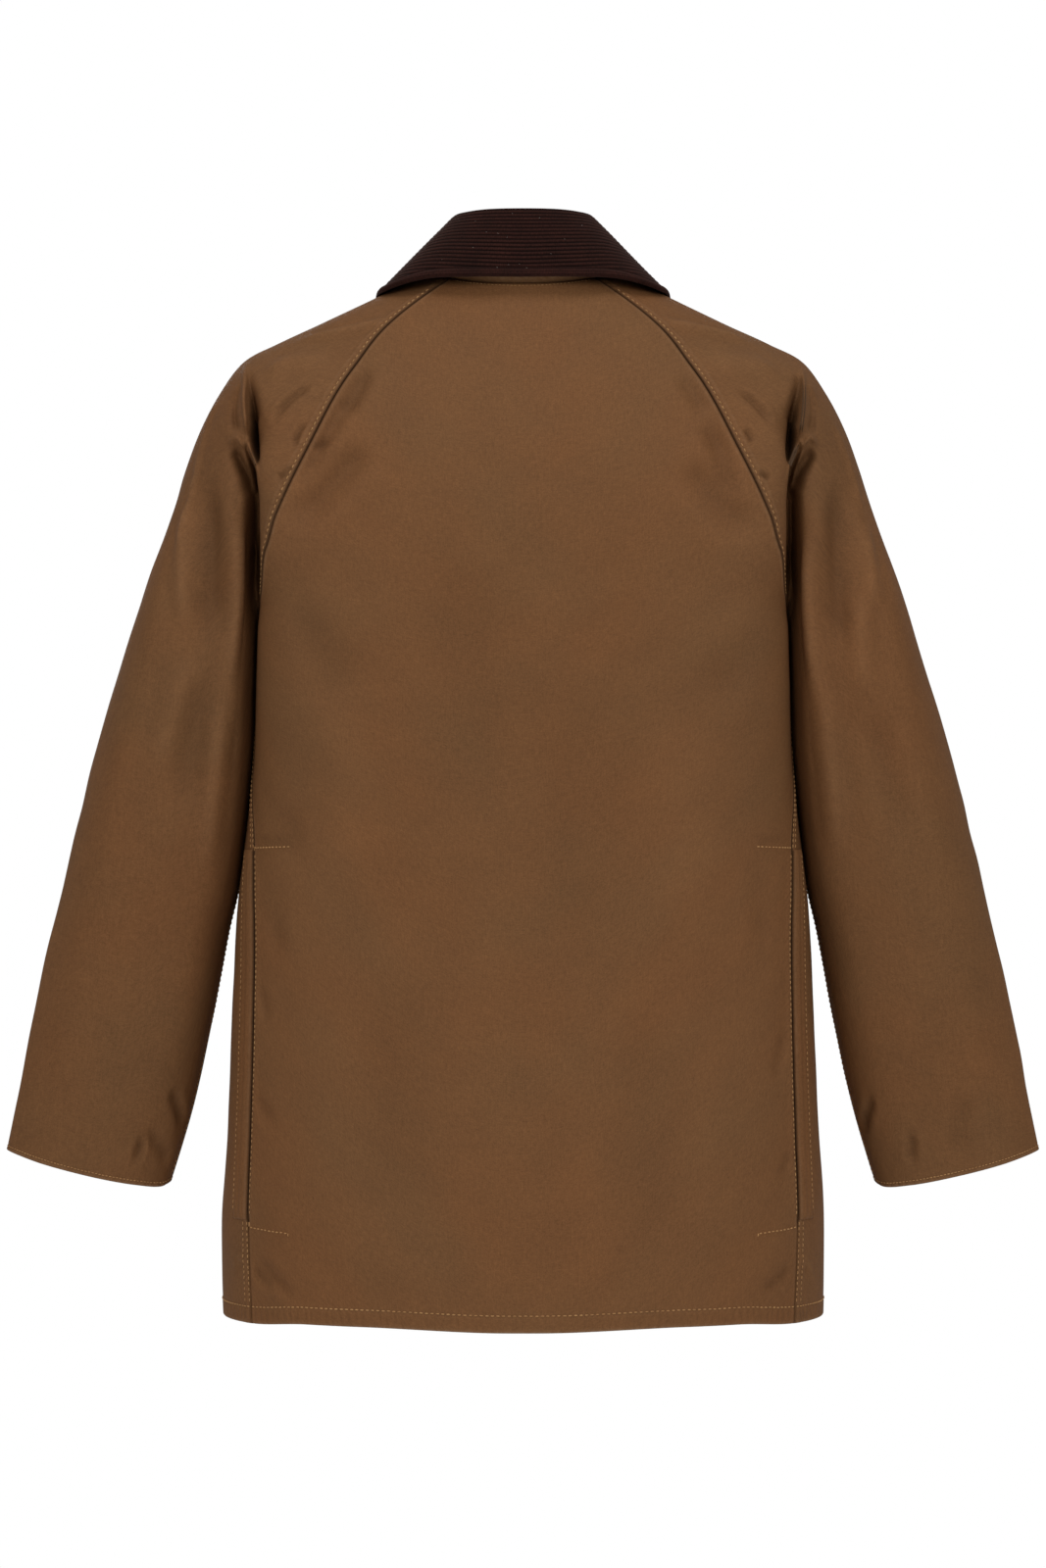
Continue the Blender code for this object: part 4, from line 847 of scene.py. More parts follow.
def felled(p, distance, rows, amount=1.0):
    """Folded-under allowance beside a seam, pulled down along its stitch rows."""
    p.rise += FELL_HIGH * amount * (1 - smooth_step((distance - FELL_WIDE) / 0.0022))
    for at in rows:
        p.rise -= 0.00035 * amount * bell((distance - at) / 0.0008)
        # painted shade in each stitch row's groove
        p.dark += 0.20 * amount * bell((distance - at) / 0.0007)
    p.crimp_y += 0.8 * amount * bell((distance - np.mean(rows)) / (0.6 * FELL_WIDE))
    # paler at the allowance's raised edge: partly wax worn off, partly painted highlight
    p.wear_and_highlight += 0.25 * amount * bell((distance - FELL_WIDE + 0.0008) / 0.0010)


def foot_fold(p, row, high):
    """Turned-up hem or cuff, with its one stitch row."""
    p.rise -= EDGE_ROUND * rounded(p.low, 0.0016)
    p.rise += high * (1 - smooth_step((p.low - row) / 0.0016))
    p.rise -= 0.00040 * bell((p.low - row) / 0.0011)
    p.wear_and_highlight += 0.75 * bell(p.low / 0.0014) + 0.12 * bell((p.low - row) / 0.0018)
    # painted shade in the stitch row's groove
    p.dark += 0.22 * bell((p.low - row) / 0.0007)
    p.crimp_x += bell((p.low - row * 0.55) / (0.55 * row)) * 0.9


# ---------------------------------------------------------------- meshes
PIECES = {}


def mesh_of(name, points, faces, material, attributes=(), smooth=True):
    """Mesh object from arrays. faces is (n, 3) or (n, 4); attributes are (name, n x 3 array)."""
    points, faces = np.asarray(points, np.float32), np.asarray(faces, np.int32)
    mesh = bpy.data.meshes.new(name)
    mesh.vertices.add(len(points))
    mesh.vertices.foreach_set("co", points.ravel())
    mesh.loops.add(faces.size)
    mesh.loops.foreach_set("vertex_index", faces.ravel())
    mesh.polygons.add(len(faces))
    mesh.polygons.foreach_set("loop_start", np.arange(0, faces.size, faces.shape[1], dtype=np.int32))
    mesh.polygons.foreach_set("use_smooth", np.full(len(faces), smooth))
    mesh.update(calc_edges=True)
    mesh.validate()
    for label, values in attributes:
        layer = mesh.attributes.new(label, "FLOAT_VECTOR", "POINT")
        layer.data.foreach_set("vector", np.asarray(values, np.float32).ravel())
    obj = bpy.data.objects.new(name, mesh)
    obj.data.materials.append(material)
    bpy.context.scene.collection.objects.link(obj)
    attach(obj, "root")
    PIECES[name] = obj
    return obj


def signed_volume(points, faces):
    a, b, c = points[faces[:, 0]], points[faces[:, 1]], points[faces[:, 2]]
    volume = np.einsum("ij,ij->i", a, np.cross(b, c)).sum()
    if faces.shape[1] == 4:
        d = points[faces[:, 3]]
        volume += np.einsum("ij,ij->i", a, np.cross(c, d)).sum()
    return volume / 6


def shell(name, outer, inner, bulge, material, values, mirror=1.0):
    """Closed cloth between two grids. bulge is how far the middle of the rim stands out on the
    head, last, foot and first edge. values are (name, grid of 3) and go on both faces."""
    rows, columns = outer.shape[:2]
    count = rows * columns
    index = np.arange(count).reshape(rows, columns)
    quads = np.stack([index[:-1, :-1], index[1:, :-1], index[1:, 1:], index[:-1, 1:]], -1).reshape(-1, 4)
    edges = (
        [((0, j), (1, j)) for j in range(columns - 1)],
        [((i, columns - 1), (i, columns - 2)) for i in range(rows - 1)],
        [((rows - 1, j), (rows - 2, j)) for j in range(columns - 1, 0, -1)],
        [((i, 0), (i, 1)) for i in range(rows - 1, 0, -1)],
    )
    rim, middle = [], []
    for which, line in enumerate(edges):
        for at, inside in line:
            out = outer[at] - outer[inside]
            middle.append((outer[at] + inner[at]) / 2 + out / max(np.linalg.norm(out), 1e-9) * bulge[which])
            rim.append(index[at])
    rim, middle = np.array(rim), np.array(middle)
    ring = 2 * count + np.arange(len(rim))
    after, ring_after = np.roll(rim, -1), np.roll(ring, -1)
    faces = np.concatenate(
        [
            quads,
            (quads + count)[:, ::-1],
            np.stack([rim, after, ring_after, ring], -1),
            np.stack([ring, ring_after, after + count, rim + count], -1),
        ]
    )
    points = np.concatenate([outer.reshape(-1, 3), inner.reshape(-1, 3), middle]) * [mirror, 1, 1]
    if signed_volume(points, faces) < 0:
        faces = faces[:, ::-1]
    made = []
    for label, grid, inside in values:
        flat = grid.reshape(-1, 3)
        under = flat.copy()
        if inside is not None:
            under[:, 2] = inside
        made.append((label, np.concatenate([flat, under, flat[rim]])))
    return mesh_of(name, points, faces, material, made)


def face_of(p):
    """The panel's outer face and its directions, after all its rises."""
    outer = p.pts + p.normals * p.rise[..., None]
    normals = surface_normals(outer)
    normals *= np.sign((normals * p.normals).sum(axis=2, keepdims=True))
    return outer, normals


def cloth_values(p, patch):
    """Point values that the cloth's material reads."""
    size = p.rise.shape
    middle = p.across[:, :1] * 0 + p.across - p.zero
    return (
        ("cloth", np.stack([middle, p.top, np.full(size, patch)], -1), None),
        # paler wear, partly painted highlight, and painted shade; then the puckers and the painted shade and light of
        # the folds
        ("marks_and_painted_shade", np.stack([np.clip(p.wear_and_highlight, 0, 1), np.clip(p.dark, 0, 1), np.zeros(size)], -1), 1.0),
        ("crimp_and_painted_shading", np.stack([np.clip(p.crimp_x, 0, 1), np.clip(p.crimp_y, 0, 1), np.clip(p.tone, -1.2, 1.2)], -1), None),
    )


# ---------------------------------------------------------------- thread
THREADS = {}


def down_line(p, outer, normals, distance, rows, end):
    """Line down a panel at a distance from its near or far seam, along these rows."""
    gaps = p.near if end == "near" else p.far
    line, facing = [], []
    for i in rows:
        order = np.argsort(gaps[i])
        at = gaps[i][order]
        line.append([np.interp(distance, at, outer[i, order, k]) for k in range(3)])
        facing.append([np.interp(distance, at, normals[i, order, k]) for k in range(3)])
    return np.array(line), unit(np.array(facing))


def cross_line(p, outer, normals, distance, columns, gaps=None):
    """Line across a panel at a height above its foot."""
    gaps = p.low if gaps is None else gaps
    line, facing = [], []
    for j in columns:
        order = np.argsort(gaps[:, j])
        at = gaps[order, j]
        line.append([np.interp(distance, at, outer[order, j, k]) for k in range(3)])
        facing.append([np.interp(distance, at, normals[order, j, k]) for k in range(3)])
    return np.array(line), unit(np.array(facing))


STITCH_T = np.array([-0.5, -0.38, 0.0, 0.38, 0.5])
STITCH_SIZE = np.array([0.0, 0.80, 1.0, 0.80, 0.0])


def sew(group, line, facing, mirror=1.0, pitch=STITCH_PITCH, length=STITCH, radius=THREAD, seed=1):
    """Row of stitches along a line, each a small bent capsule that dips into the cloth."""
    step = np.linalg.norm(np.diff(line, axis=0), axis=1)
    at = np.concatenate([[0], np.cumsum(step)])
    count = int(at[-1] / pitch)
    if count < 1:
        return
    rng = np.random.default_rng(seed + 7 * count)
    centre = (np.arange(count) + 0.5) * at[-1] / count + rng.uniform(-0.10, 0.10, count) * pitch * 0.5
    span = length * rng.uniform(0.93, 1.05, count)
    offset = centre[:, None] + STITCH_T * span[:, None]
    place = np.stack([np.interp(offset, at, line[:, k]) for k in range(3)], -1)
    up = unit(np.stack([np.interp(offset, at, facing[:, k]) for k in range(3)], -1))
    along = unit(place[:, -1:] - place[:, :1])
    side = unit(np.cross(np.broadcast_to(along, up.shape), up))
    place = place + side * rng.normal(0, 0.00005, (count, 1, 1))
    lift = np.array([-0.9, 0.15, 0.55, 0.15, -0.9]) * radius
    middle = place + up * lift[:, None]
    points = []
    for k in (1, 2, 3):
        for angle in np.arange(6) * pi / 3:
            points.append(middle[:, k] + STITCH_SIZE[k] * radius * (side[:, k] * cos(angle) + up[:, k] * sin(angle)))
    points = np.stack([middle[:, 0]] + points + [middle[:, 4]], 1) * [mirror, 1, 1]
    faces = []
    for m in range(6):
        n = (m + 1) % 6
        faces += [(0, 1 + n, 1 + m), (19, 13 + m, 13 + n)]
        for ring in (1, 7):
            faces += [(ring + m, ring + n, ring + 6 + n), (ring + m, ring + 6 + n, ring + 6 + m)]
    faces = np.array(faces)
    if signed_volume(points[0], faces) < 0:
        faces = faces[:, ::-1]
    THREADS.setdefault(group, []).append((points, faces))


def knot(group, place, along, up, mirror=1.0, size=0.0030, turns=7):
    """Close bar of stitches, set across the line."""
    across = unit(np.cross(up, along))
    for k in range(turns):
        mid = place + along * (k - (turns - 1) / 2) * size / turns
        ends = np.array([mid - across * size * 0.42, mid, mid + across * size * 0.42])
        sew(group, ends, np.array([up] * 3), mirror, size * 0.84, size * 0.9, THREAD * 0.9, 5 + k)


def tie_off(material):
    for group, rows in THREADS.items():
        points = np.concatenate([r[0].reshape(-1, 3) for r in rows])
        faces, base = [], 0
        for made, pattern in rows:
            many = np.arange(len(made))[:, None, None] * made.shape[1] + pattern[None] + base
            faces.append(many.reshape(-1, 3))
            base += made.shape[0] * made.shape[1]
        obj = mesh_of("thread_" + group, points, np.concatenate(faces), material)


# ---------------------------------------------------------------- materials
class Graph:
    """Short way to write a material's nodes."""

    def __init__(self, name):
        self.material = bpy.data.materials.new(name)
        self.material.use_nodes = True
        self.tree = self.material.node_tree
        self.shader = self.tree.nodes["Principled BSDF"]

    def put(self, kind, *inputs, **props):
        made = self.tree.nodes.new("ShaderNode" + kind)
        for key, value in props.items():
            setattr(made, key, value)
        for slot, value in zip(made.inputs, inputs):
            if value is None:
                continue
            if isinstance(value, bpy.types.NodeSocket):
                self.tree.links.new(value, slot)
            else:
                slot.default_value = value
        return made

    def math(self, operation, a, b=None, c=None):
        return self.put("Math", a, b, c, operation=operation).outputs[0]

    def scaled(self, vector, factors):
        return self.put("VectorMath", vector, factors, operation="MULTIPLY").outputs[0]

    def noise(self, vector, scale, detail=3.0, rough=0.5):
        made = self.put("TexNoise", vector)
        made.inputs["Scale"].default_value = scale
        made.inputs["Detail"].default_value = detail
        made.inputs["Roughness"].default_value = rough
        return made.outputs[0]

    def fit(self, value, low, high, to_low, to_high):
        return self.put("MapRange", value, low, high, to_low, to_high).outputs[0]

    def mix(self, factor, a, b, blend="MIX"):
        made = self.tree.nodes.new("ShaderNodeMix")
        made.data_type, made.blend_type = "RGBA", blend
        for k, value in ((0, factor), (6, a), (7, b)):
            if isinstance(value, bpy.types.NodeSocket):
                self.tree.links.new(value, made.inputs[k])
            else:
                made.inputs[k].default_value = (*value[:3], 1.0) if k else value
        return made.outputs[2]

    def grey(self, value):
        return self.put("CombineColor", value, value, value).outputs[0]

    def attribute(self, name):
        return self.put("Attribute", attribute_name=name).outputs["Vector"]

    def split(self, vector):
        return self.put("SeparateXYZ", vector).outputs

    def total(self, *values):
        made = values[0]
        for value in values[1:]:
            made = self.math("ADD", made, value)
        return made

    def finish(self, colour, roughness, height, **fixed):
        link = self.tree.links.new
        link(colour, self.shader.inputs["Base Color"])
        link(roughness, self.shader.inputs["Roughness"])
        if height is not None:
            bump = self.tree.nodes.new("ShaderNodeBump")
            bump.inputs["Strength"].default_value = 1.0
            bump.inputs["Distance"].default_value = 1.0
            link(height, bump.inputs["Height"])
            link(bump.outputs[0], self.shader.inputs["Normal"])
        for key, value in fixed.items():
            self.shader.inputs[key.replace("_", " ")].default_value = value
        return self.material


WAXED_RED = (0.1760, 0.0768, 0.0292)
WAXED_OLIVE = (0.1660, 0.0778, 0.0310)
# pale colour of worn wax, also used to paint highlights on ridges and seam edges
WAXED_WORN_AND_HIGHLIGHT = (0.315, 0.185, 0.100)
WAXED_INSIDE = (0.085, 0.048, 0.026)


def waxed_cotton(name="waxed_cotton_cloth", tint=1.0):
    g = Graph(name)
    cloth = g.attribute("cloth")
    # paler wear (partly painted highlight), painted shade, and the inside face
    wear_and_highlight, dark, inside = g.split(g.attribute("marks_and_painted_shade"))[:3]
    crimp_x, crimp_y, tone = g.split(g.attribute("crimp_and_painted_shading"))[:3]
    x, y = g.split(cloth)[:2]
    cloud = g.noise(cloth, 26.0, 4.0, 0.55)
    drift = g.noise(cloth, 7.5, 2.0, 0.5)
    slub = g.noise(g.scaled(cloth, (820.0, 110.0, 50.0)), 1.0, 2.0, 0.6)
    pick = g.noise(g.scaled(cloth, (130.0, 900.0, 50.0)), 1.0, 2.0, 0.6)
    grain = g.noise(cloth, 900.0, 3.0, 0.75)
    red, olive, worn_and_highlight, lining = ([c * tint for c in v] for v in (WAXED_RED, WAXED_OLIVE, WAXED_WORN_AND_HIGHLIGHT, WAXED_INSIDE))
    colour = g.mix(g.fit(drift, 0.36, 0.64, 0.0, 1.0), red, olive)
    shade = g.math("MULTIPLY", g.fit(cloud, 0.30, 0.70, 0.95, 1.05), g.fit(slub, 0.28, 0.72, 0.93, 1.07))
    shade = g.math("MULTIPLY", shade, g.fit(pick, 0.28, 0.72, 0.95, 1.05))
    shade = g.math("MULTIPLY", shade, g.fit(grain, 0.28, 0.72, 0.80, 1.20))
    shade = g.math("MULTIPLY", shade, g.fit(g.noise(cloth, 330.0, 2.0, 0.6), 0.30, 0.70, 0.92, 1.08))
    # painted shade and light of the folds: darker in troughs, lighter on ridges, darker on the upper back and inner
    # band of the sleeves
    shade = g.math("MULTIPLY", shade, g.fit(tone, -1.2, 1.2, 0.84, 1.16))
    colour = g.mix(1.0, colour, g.grey(shade), "MULTIPLY")
    # paler where worn: partly wax worn off, partly painted highlight
    rub_and_highlight = g.math("MULTIPLY", wear_and_highlight, g.fit(g.noise(cloth, 190.0, 3.0, 0.6), 0.30, 0.70, 0.15, 0.75))
    colour = g.mix(rub_and_highlight, colour, worn_and_highlight)
    # painted shade: near black in seam grooves, stitch rows and fold bottoms
    colour = g.mix(g.math("MULTIPLY", dark, 0.80), colour, [c * 0.12 for c in olive])
    colour = g.mix(inside, colour, lining)
    weave = g.math(
        "MULTIPLY",
        g.math("MULTIPLY", g.math("SINE", g.math("MULTIPLY", x, 2 * pi / 0.00062)), g.math("SINE", g.math("MULTIPLY", y, 2 * pi / 0.00062))),
        0.000010,
    )
    wander = g.math("MULTIPLY", g.noise(cloth, 60.0, 2.0), 9.0)
    ripple_x = g.math("SINE", g.total(g.math("MULTIPLY", x, 2 * pi / 0.0062), wander))
    ripple_y = g.math("SINE", g.total(g.math("MULTIPLY", y, 2 * pi / 0.0066), wander))
    height = g.total(
        weave,
        g.math("MULTIPLY", g.noise(cloth, 150.0, 4.0, 0.55), 0.00014),
        g.math("MULTIPLY", g.noise(cloth, 620.0, 2.0, 0.6), 0.00006),
        g.math("MULTIPLY", slub, 0.00003),
        g.math("MULTIPLY", g.math("MULTIPLY", ripple_x, crimp_x), 0.00028),
        g.math("MULTIPLY", g.math("MULTIPLY", ripple_y, crimp_y), 0.00026),
    )
    rough = g.total(g.fit(cloud, 0.30, 0.70, 0.66, 0.74), g.math("MULTIPLY", wear_and_highlight, 0.08), g.math("MULTIPLY", dark, 0.15))
    return g.finish(colour, rough, height, Specular_IOR_Level=0.11)


# colours of the wale tops and of the grooves between them; the grooves are about ten times darker, painted shade
# between the wales
CORD_TOP = (0.034, 0.0118, 0.0088)
CORD_GROOVE_PAINTED_SHADE = (0.0030, 0.0012, 0.0010)


def corduroy():
    g = Graph("corduroy_pile")
    cloth = g.attribute("cloth")
    rib, dark, inside = g.split(g.attribute("marks_and_painted_shade"))[:3]
    pile = g.noise(g.scaled(cloth, (420.0, 1300.0, 300.0)), 1.0, 3.0, 0.6)
    patch = g.noise(cloth, 45.0, 3.0, 0.6)
    fine = g.noise(cloth, 2600.0, 2.0, 0.7)
    # lighter on the rib tops and darker in the grooves: painted light and shade of the wales
    top = g.math("MULTIPLY", g.fit(rib, 0.25, 1.0, 0.0, 1.0), g.fit(pile, 0.32, 0.68, 0.35, 1.25))
    colour = g.mix(top, CORD_GROOVE_PAINTED_SHADE, CORD_TOP)
    shade = g.math("MULTIPLY", g.fit(patch, 0.30, 0.70, 0.75, 1.25), g.fit(fine, 0.25, 0.75, 0.80, 1.20))
    colour = g.mix(1.0, colour, g.grey(shade), "MULTIPLY")
    # painted shade in the groove above the rolled edge
    colour = g.mix(g.math("MULTIPLY", dark, 0.7), colour, (0.004, 0.002, 0.002))
    colour = g.mix(g.math("MULTIPLY", inside, 0.6), colour, (0.010, 0.0055, 0.0045))
    height = g.total(g.math("MULTIPLY", pile, 0.00022), g.math("MULTIPLY", fine, 0.00010))
    rough = g.fit(patch, 0.3, 0.7, 0.80, 0.95)
    return g.finish(colour, rough, height, Specular_IOR_Level=0.06, Sheen_Weight=0.09, Sheen_Roughness=0.45, Sheen_Tint=(0.85, 0.50, 0.42, 1))


def thread_material():
    g = Graph("golden_thread")
    at = g.put("NewGeometry").outputs["Position"]
    twist = g.noise(at, 900.0, 2.0, 0.6)
    tone = g.noise(at, 40.0, 2.0, 0.5)
    colour = g.mix(g.fit(tone, 0.35, 0.65, 0.0, 1.0), (0.360, 0.178, 0.062), (0.460, 0.250, 0.095))
    colour = g.mix(1.0, colour, g.grey(g.fit(twist, 0.3, 0.7, 0.75, 1.15)), "MULTIPLY")
    return g.finish(colour, g.fit(twist, 0.3, 0.7, 0.55, 0.72), g.math("MULTIPLY", twist, 0.00005), Specular_IOR_Level=0.35)


def brass_material():
    g = Graph("aged_brass_cap")
    at = g.put("NewGeometry").outputs["Position"]
    tarnish = g.noise(at, 260.0, 4.0, 0.6)
    scratch = g.noise(g.scaled(at, (3000.0, 400.0, 400.0)), 1.0, 2.0, 0.5)
    colour = g.mix(g.fit(tarnish, 0.38, 0.66, 0.0, 1.0), (0.46, 0.31, 0.125), (0.20, 0.125, 0.050))
    rough = g.total(g.fit(tarnish, 0.35, 0.7, 0.26, 0.50), g.math("MULTIPLY", scratch, 0.06))
    return g.finish(colour, rough, g.math("MULTIPLY", tarnish, 0.00004), Metallic=1.0)


def lint_material():
    g = Graph("pale_lint")
    at = g.put("NewGeometry").outputs["Position"]
    tone = g.noise(at, 500.0, 2.0, 0.5)
    colour = g.mix(tone, (0.28, 0.23, 0.195), (0.50, 0.45, 0.40))
    return g.finish(colour, g.fit(tone, 0.3, 0.7, 0.7, 0.9), None)


WAXED = waxed_cotton()
# the pocket strips' copy of the cloth, painted 2% lighter: painted light
STRIP_PAINTED_LIGHT = waxed_cotton("waxed_cotton_strip_painted_light", 1.02)
# the stand's copy of the cloth, painted 1.6 times lighter: painted light where the collar shades it
STAND_PAINTED_LIGHT = waxed_cotton("waxed_cotton_stand_painted_light", 1.6)
CORD = corduroy()
THREAD_LOOK = thread_material()
BRASS = brass_material()
LINT = lint_material()

# ---------------------------------------------------------------- the panels
DENSE = 321
half_shares = np.linspace(0, 1, 52)[:-1]
back_shares = np.linspace(0, 1, 98)[1:-1]
arm_shares = np.interp(np.linspace(0, 1, 149)[1:-1], (0.0, 0.05, 0.25, 0.46, 0.69, 1.0), (0.0, 0.065, 0.24, 0.35, 0.56, 1.0))
front_shares = np.linspace(0, 1, 46)[1:-1]

# the back, from its right seam to its left one
dense = body_surface(BODY_ROWS, np.linspace(-1, 1, 2 * DENSE - 1), False)
back = panel(dense, True, True, back_shares, (0, 1, 0))
back.zero = back.across[:, -1:] / 2
# a sleeve, from its back seam over the shoulder to its front seam
dense = sleeve_surface(ARM_ROWS, np.linspace(0, 1, 2 * DENSE))
sleeves = {}
for side in SIDES:
    bent, shade = folded(dense, side)
    sleeves[side] = panel(bent, True, True, arm_shares, (1, 0, 0))
    # the folds' painted shade goes into the sleeve's colour
    sleeves[side].dark += on_columns(bent, sleeves[side], shade)
# a front, from its lap edge to its seam
fronts = {}
for side, under in (("left", False), ("right", True)):
    line = lap_edge(BODY_ROWS, under)
    over = front_surface(BODY_ROWS, np.linspace(0, 1, DENSE), under)
    steps = np.linspace(0, 1, 24)[:-1, None]
    lap = line[:, :1] + (over[:, :1] - line) * steps[None]
    lap[..., 1] = np.array(
        [np.interp(row[:, 0], more[::-1, 0] * 1.0, more[::-1, 1]) for row, more in zip(lap, front_surface(BODY_ROWS, np.linspace(0, -0.4, 40), under))]
    )
    fronts[side] = panel(np.concatenate([lap, over], axis=1), True, True, front_shares, (0.3, -1, 0))
for p in list(sleeves.values()):
    p.zero = p.across[:, -1:] * 0.5
for p in list(fronts.values()):
    p.zero = np.full((len(p.pts), 1), LAP)


body_s, arm_s = BODY_ROWS[:, None], ARM_ROWS[:, None]
slit = smooth_step((body_s - WELT_TOP_S) / 0.012) * smooth_step((WELT_END_S - body_s) / 0.010)
raglan_arm = smooth_step((1.0 - arm_s) / 0.03)
raglan_body = smooth_step((1.0 - body_s) / 0.03)

# creases and unevenness first, then seams, edges and stitch rows
crease(back, "back", "left", 1.0)
crease(back, "back", "right", -1.0)
settle(back, 11, apart(back, True))
for gap in (back.near, back.far):
    back.rise *= smooth_step(gap / 0.010)
    below = smooth_step((body_s - WELT_END_S) / 0.010)
    seam_lip(back, gap, 1.0 - 0.10 * slit - 0.60 * below)
    back.rise += slit * 0.0007 * (1 - smooth_step((gap - 0.0030) / 0.006))
    back.rise -= slit * 0.00030 * bell((gap - SLIT_ROW) / 0.0008)
    # painted shade in the slit's stitch row
    back.dark += slit * 0.25 * bell((gap - SLIT_ROW) / 0.0007)
    back.crimp_y += slit * 0.6 * bell(gap / 0.006)
foot_fold(back, HEM_ROW, 0.00035)
for side, p in sleeves.items():
    crease(p, "sleeve", side)
    at = p.pts[..., [0, 2]]
    # painted shade: the upper back of the arm is darkened in the cloth's colour
    upper_arm_painted_shade = np.sqrt(((at[..., 0] - 0.232) / 0.022) ** 2 + ((at[..., 1] + 0.150) / 0.075) ** 2)
    p.tone -= 0.8 * bell(upper_arm_painted_shade) * (p.normals[..., 1] > 0)
    # painted shade too: a band down the inner half of the arm is darkened
    inner_band_painted_shade = at[..., 0] - np.interp(-at[..., 1], (0.12, 0.20, 0.28, 0.36, 0.48), (0.2440, 0.2425, 0.2400, 0.2440, 0.2530))
    p.tone -= 0.55 * bell(inner_band_painted_shade / 0.0085) * smooth_step((-at[..., 1] - 0.12) / 0.06) * smooth_step((at[..., 1] + 0.50) / 0.12) * (p.normals[..., 1] > 0)
    settle(p, 21 if side == "left" else 31, apart(p, False))
    kept_clear(p, (tree_of(back.pts), tree_of(fronts[side].pts)), 0.0007)
    for gap in (p.near, p.far):
        p.rise *= smooth_step(gap / 0.010)
        seam_lip(p, gap, raglan_arm + (1 - raglan_arm) * 0.7)
        felled(p, gap, (RAGLAN_ROW,), raglan_arm)
        felled(p, gap, SIDE_ROWS, (1 - raglan_arm) * 0.5)
    foot_fold(p, CUFF_ROW, 0.00025)
for side, p in fronts.items():
    crease(p, "front", side)
    free = apart(p, True) * smooth_step((p.near - 0.040) / 0.030)
    settle(p, 41 if side == "left" else 51, free)
    p.rise *= smooth_step(p.far / 0.010)
    seam_lip(p, p.far, 1.0 - 0.60 * smooth_step((body_s - WELT_END_S) / 0.010))
    felled(p, p.far, SIDE_ROWS, (1 - raglan_body) * (1 - slit))
    p.rise -= EDGE_ROUND * rounded(p.near, 0.0016)
    p.rise -= 0.00035 * bell((p.near - LAP_ROW) / 0.0009)
    p.wear_and_highlight += 0.7 * bell(p.near / 0.0013)
    p.crimp_y += 0.6 * bell((p.near - LAP_ROW) / 0.004)
    foot_fold(p, HEM_ROW, 0.00035)


def put_panel(name, p, bulge, patch, mirror=1.0):
    outer, normals = face_of(p)
    inner = outer - p.normals * SHELL
    obj = shell(name, outer, inner, bulge, WAXED, cloth_values(p, patch), mirror)
    return obj, outer, normals


free_edge = 0.0006
back_obj, back_out, back_n = put_panel("cloth_back", back, (0, 0, free_edge, 0), 0.0)
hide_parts("back_panel")
faces_of = {}
for side, mirror in SIDES.items():
    faces_of["sleeve", side] = put_panel("cloth_sleeve_" + side, sleeves[side], (0, 0, free_edge, 0), 0.31 if mirror > 0 else 0.57, mirror)
    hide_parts("sleeve_" + side)
    faces_of["front", side] = put_panel("cloth_front_" + side, fronts[side], (0, 0, free_edge, free_edge), 0.83 if mirror > 0 else 1.09, mirror)
    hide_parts("front_" + side)

# ---------------------------------------------------------------- stitch rows
body_rows_all, arm_rows_all = np.arange(len(BODY_ROWS)), np.arange(len(ARM_ROWS))


def rows_between(stations, low, high):
    return np.where((stations >= low) & (stations <= high))[0]


low_columns = np.arange(1, back.pts.shape[1] - 1)
sew("back", *cross_line(back, back_out, back_n, HEM_ROW, low_columns), radius=HEM_THREAD, seed=3)
for end in ("near", "far"):
    sew("back", *down_line(back, back_out, back_n, SLIT_ROW, rows_between(BODY_ROWS, WELT_TOP_S, WELT_END_S), end), seed=4)
for side, mirror in SIDES.items():
    p = sleeves[side]
    _, out, n = faces_of["sleeve", side]
    group = "sleeve_" + side
    for end in ("near", "far"):
        sew(group, *down_line(p, out, n, RAGLAN_ROW, rows_between(ARM_ROWS, 0.03, 0.91), end), mirror, pitch=0.0048, length=0.0031, radius=0.00052, seed=5)
        sew(group, *down_line(p, out, n, SIDE_ROWS[1], rows_between(ARM_ROWS, 1.0, 1.985), end), mirror, seed=6)
    sew(group, *cross_line(p, out, n, CUFF_ROW, np.arange(1, p.pts.shape[1] - 1)), mirror, pitch=0.0028, length=0.0023, seed=7)
    p = fronts[side]
    _, out, n = faces_of["front", side]
    group = "front_" + side
    for at in SIDE_ROWS:
        sew(group, *down_line(p, out, n, at, rows_between(BODY_ROWS, 1.0, WELT_TOP_S), "far"), mirror, seed=8)
        sew(group, *down_line(p, out, n, at, rows_between(BODY_ROWS, WELT_END_S, 1.986), "far"), mirror, seed=9)
    sew(group, *cross_line(p, out, n, HEM_ROW, np.arange(3, p.pts.shape[1] - 1)), mirror, radius=HEM_THREAD, seed=10)
    sew(group, *down_line(p, out, n, LAP_ROW, rows_between(BODY_ROWS, 0.02, 1.986), "near"), mirror, seed=12)

# ---------------------------------------------------------------- pocket slits
Bar = namedtuple("Bar", "s_start from_seam s_end to_seam")
BARS = (
    Bar(1.4215, 0.0012, 1.4185, 0.0440),
    Bar(1.9262, 0.0014, 1.9315, 0.0420),
    Bar(1.9300, 0.0424, 1.9350, 0.0428),
)


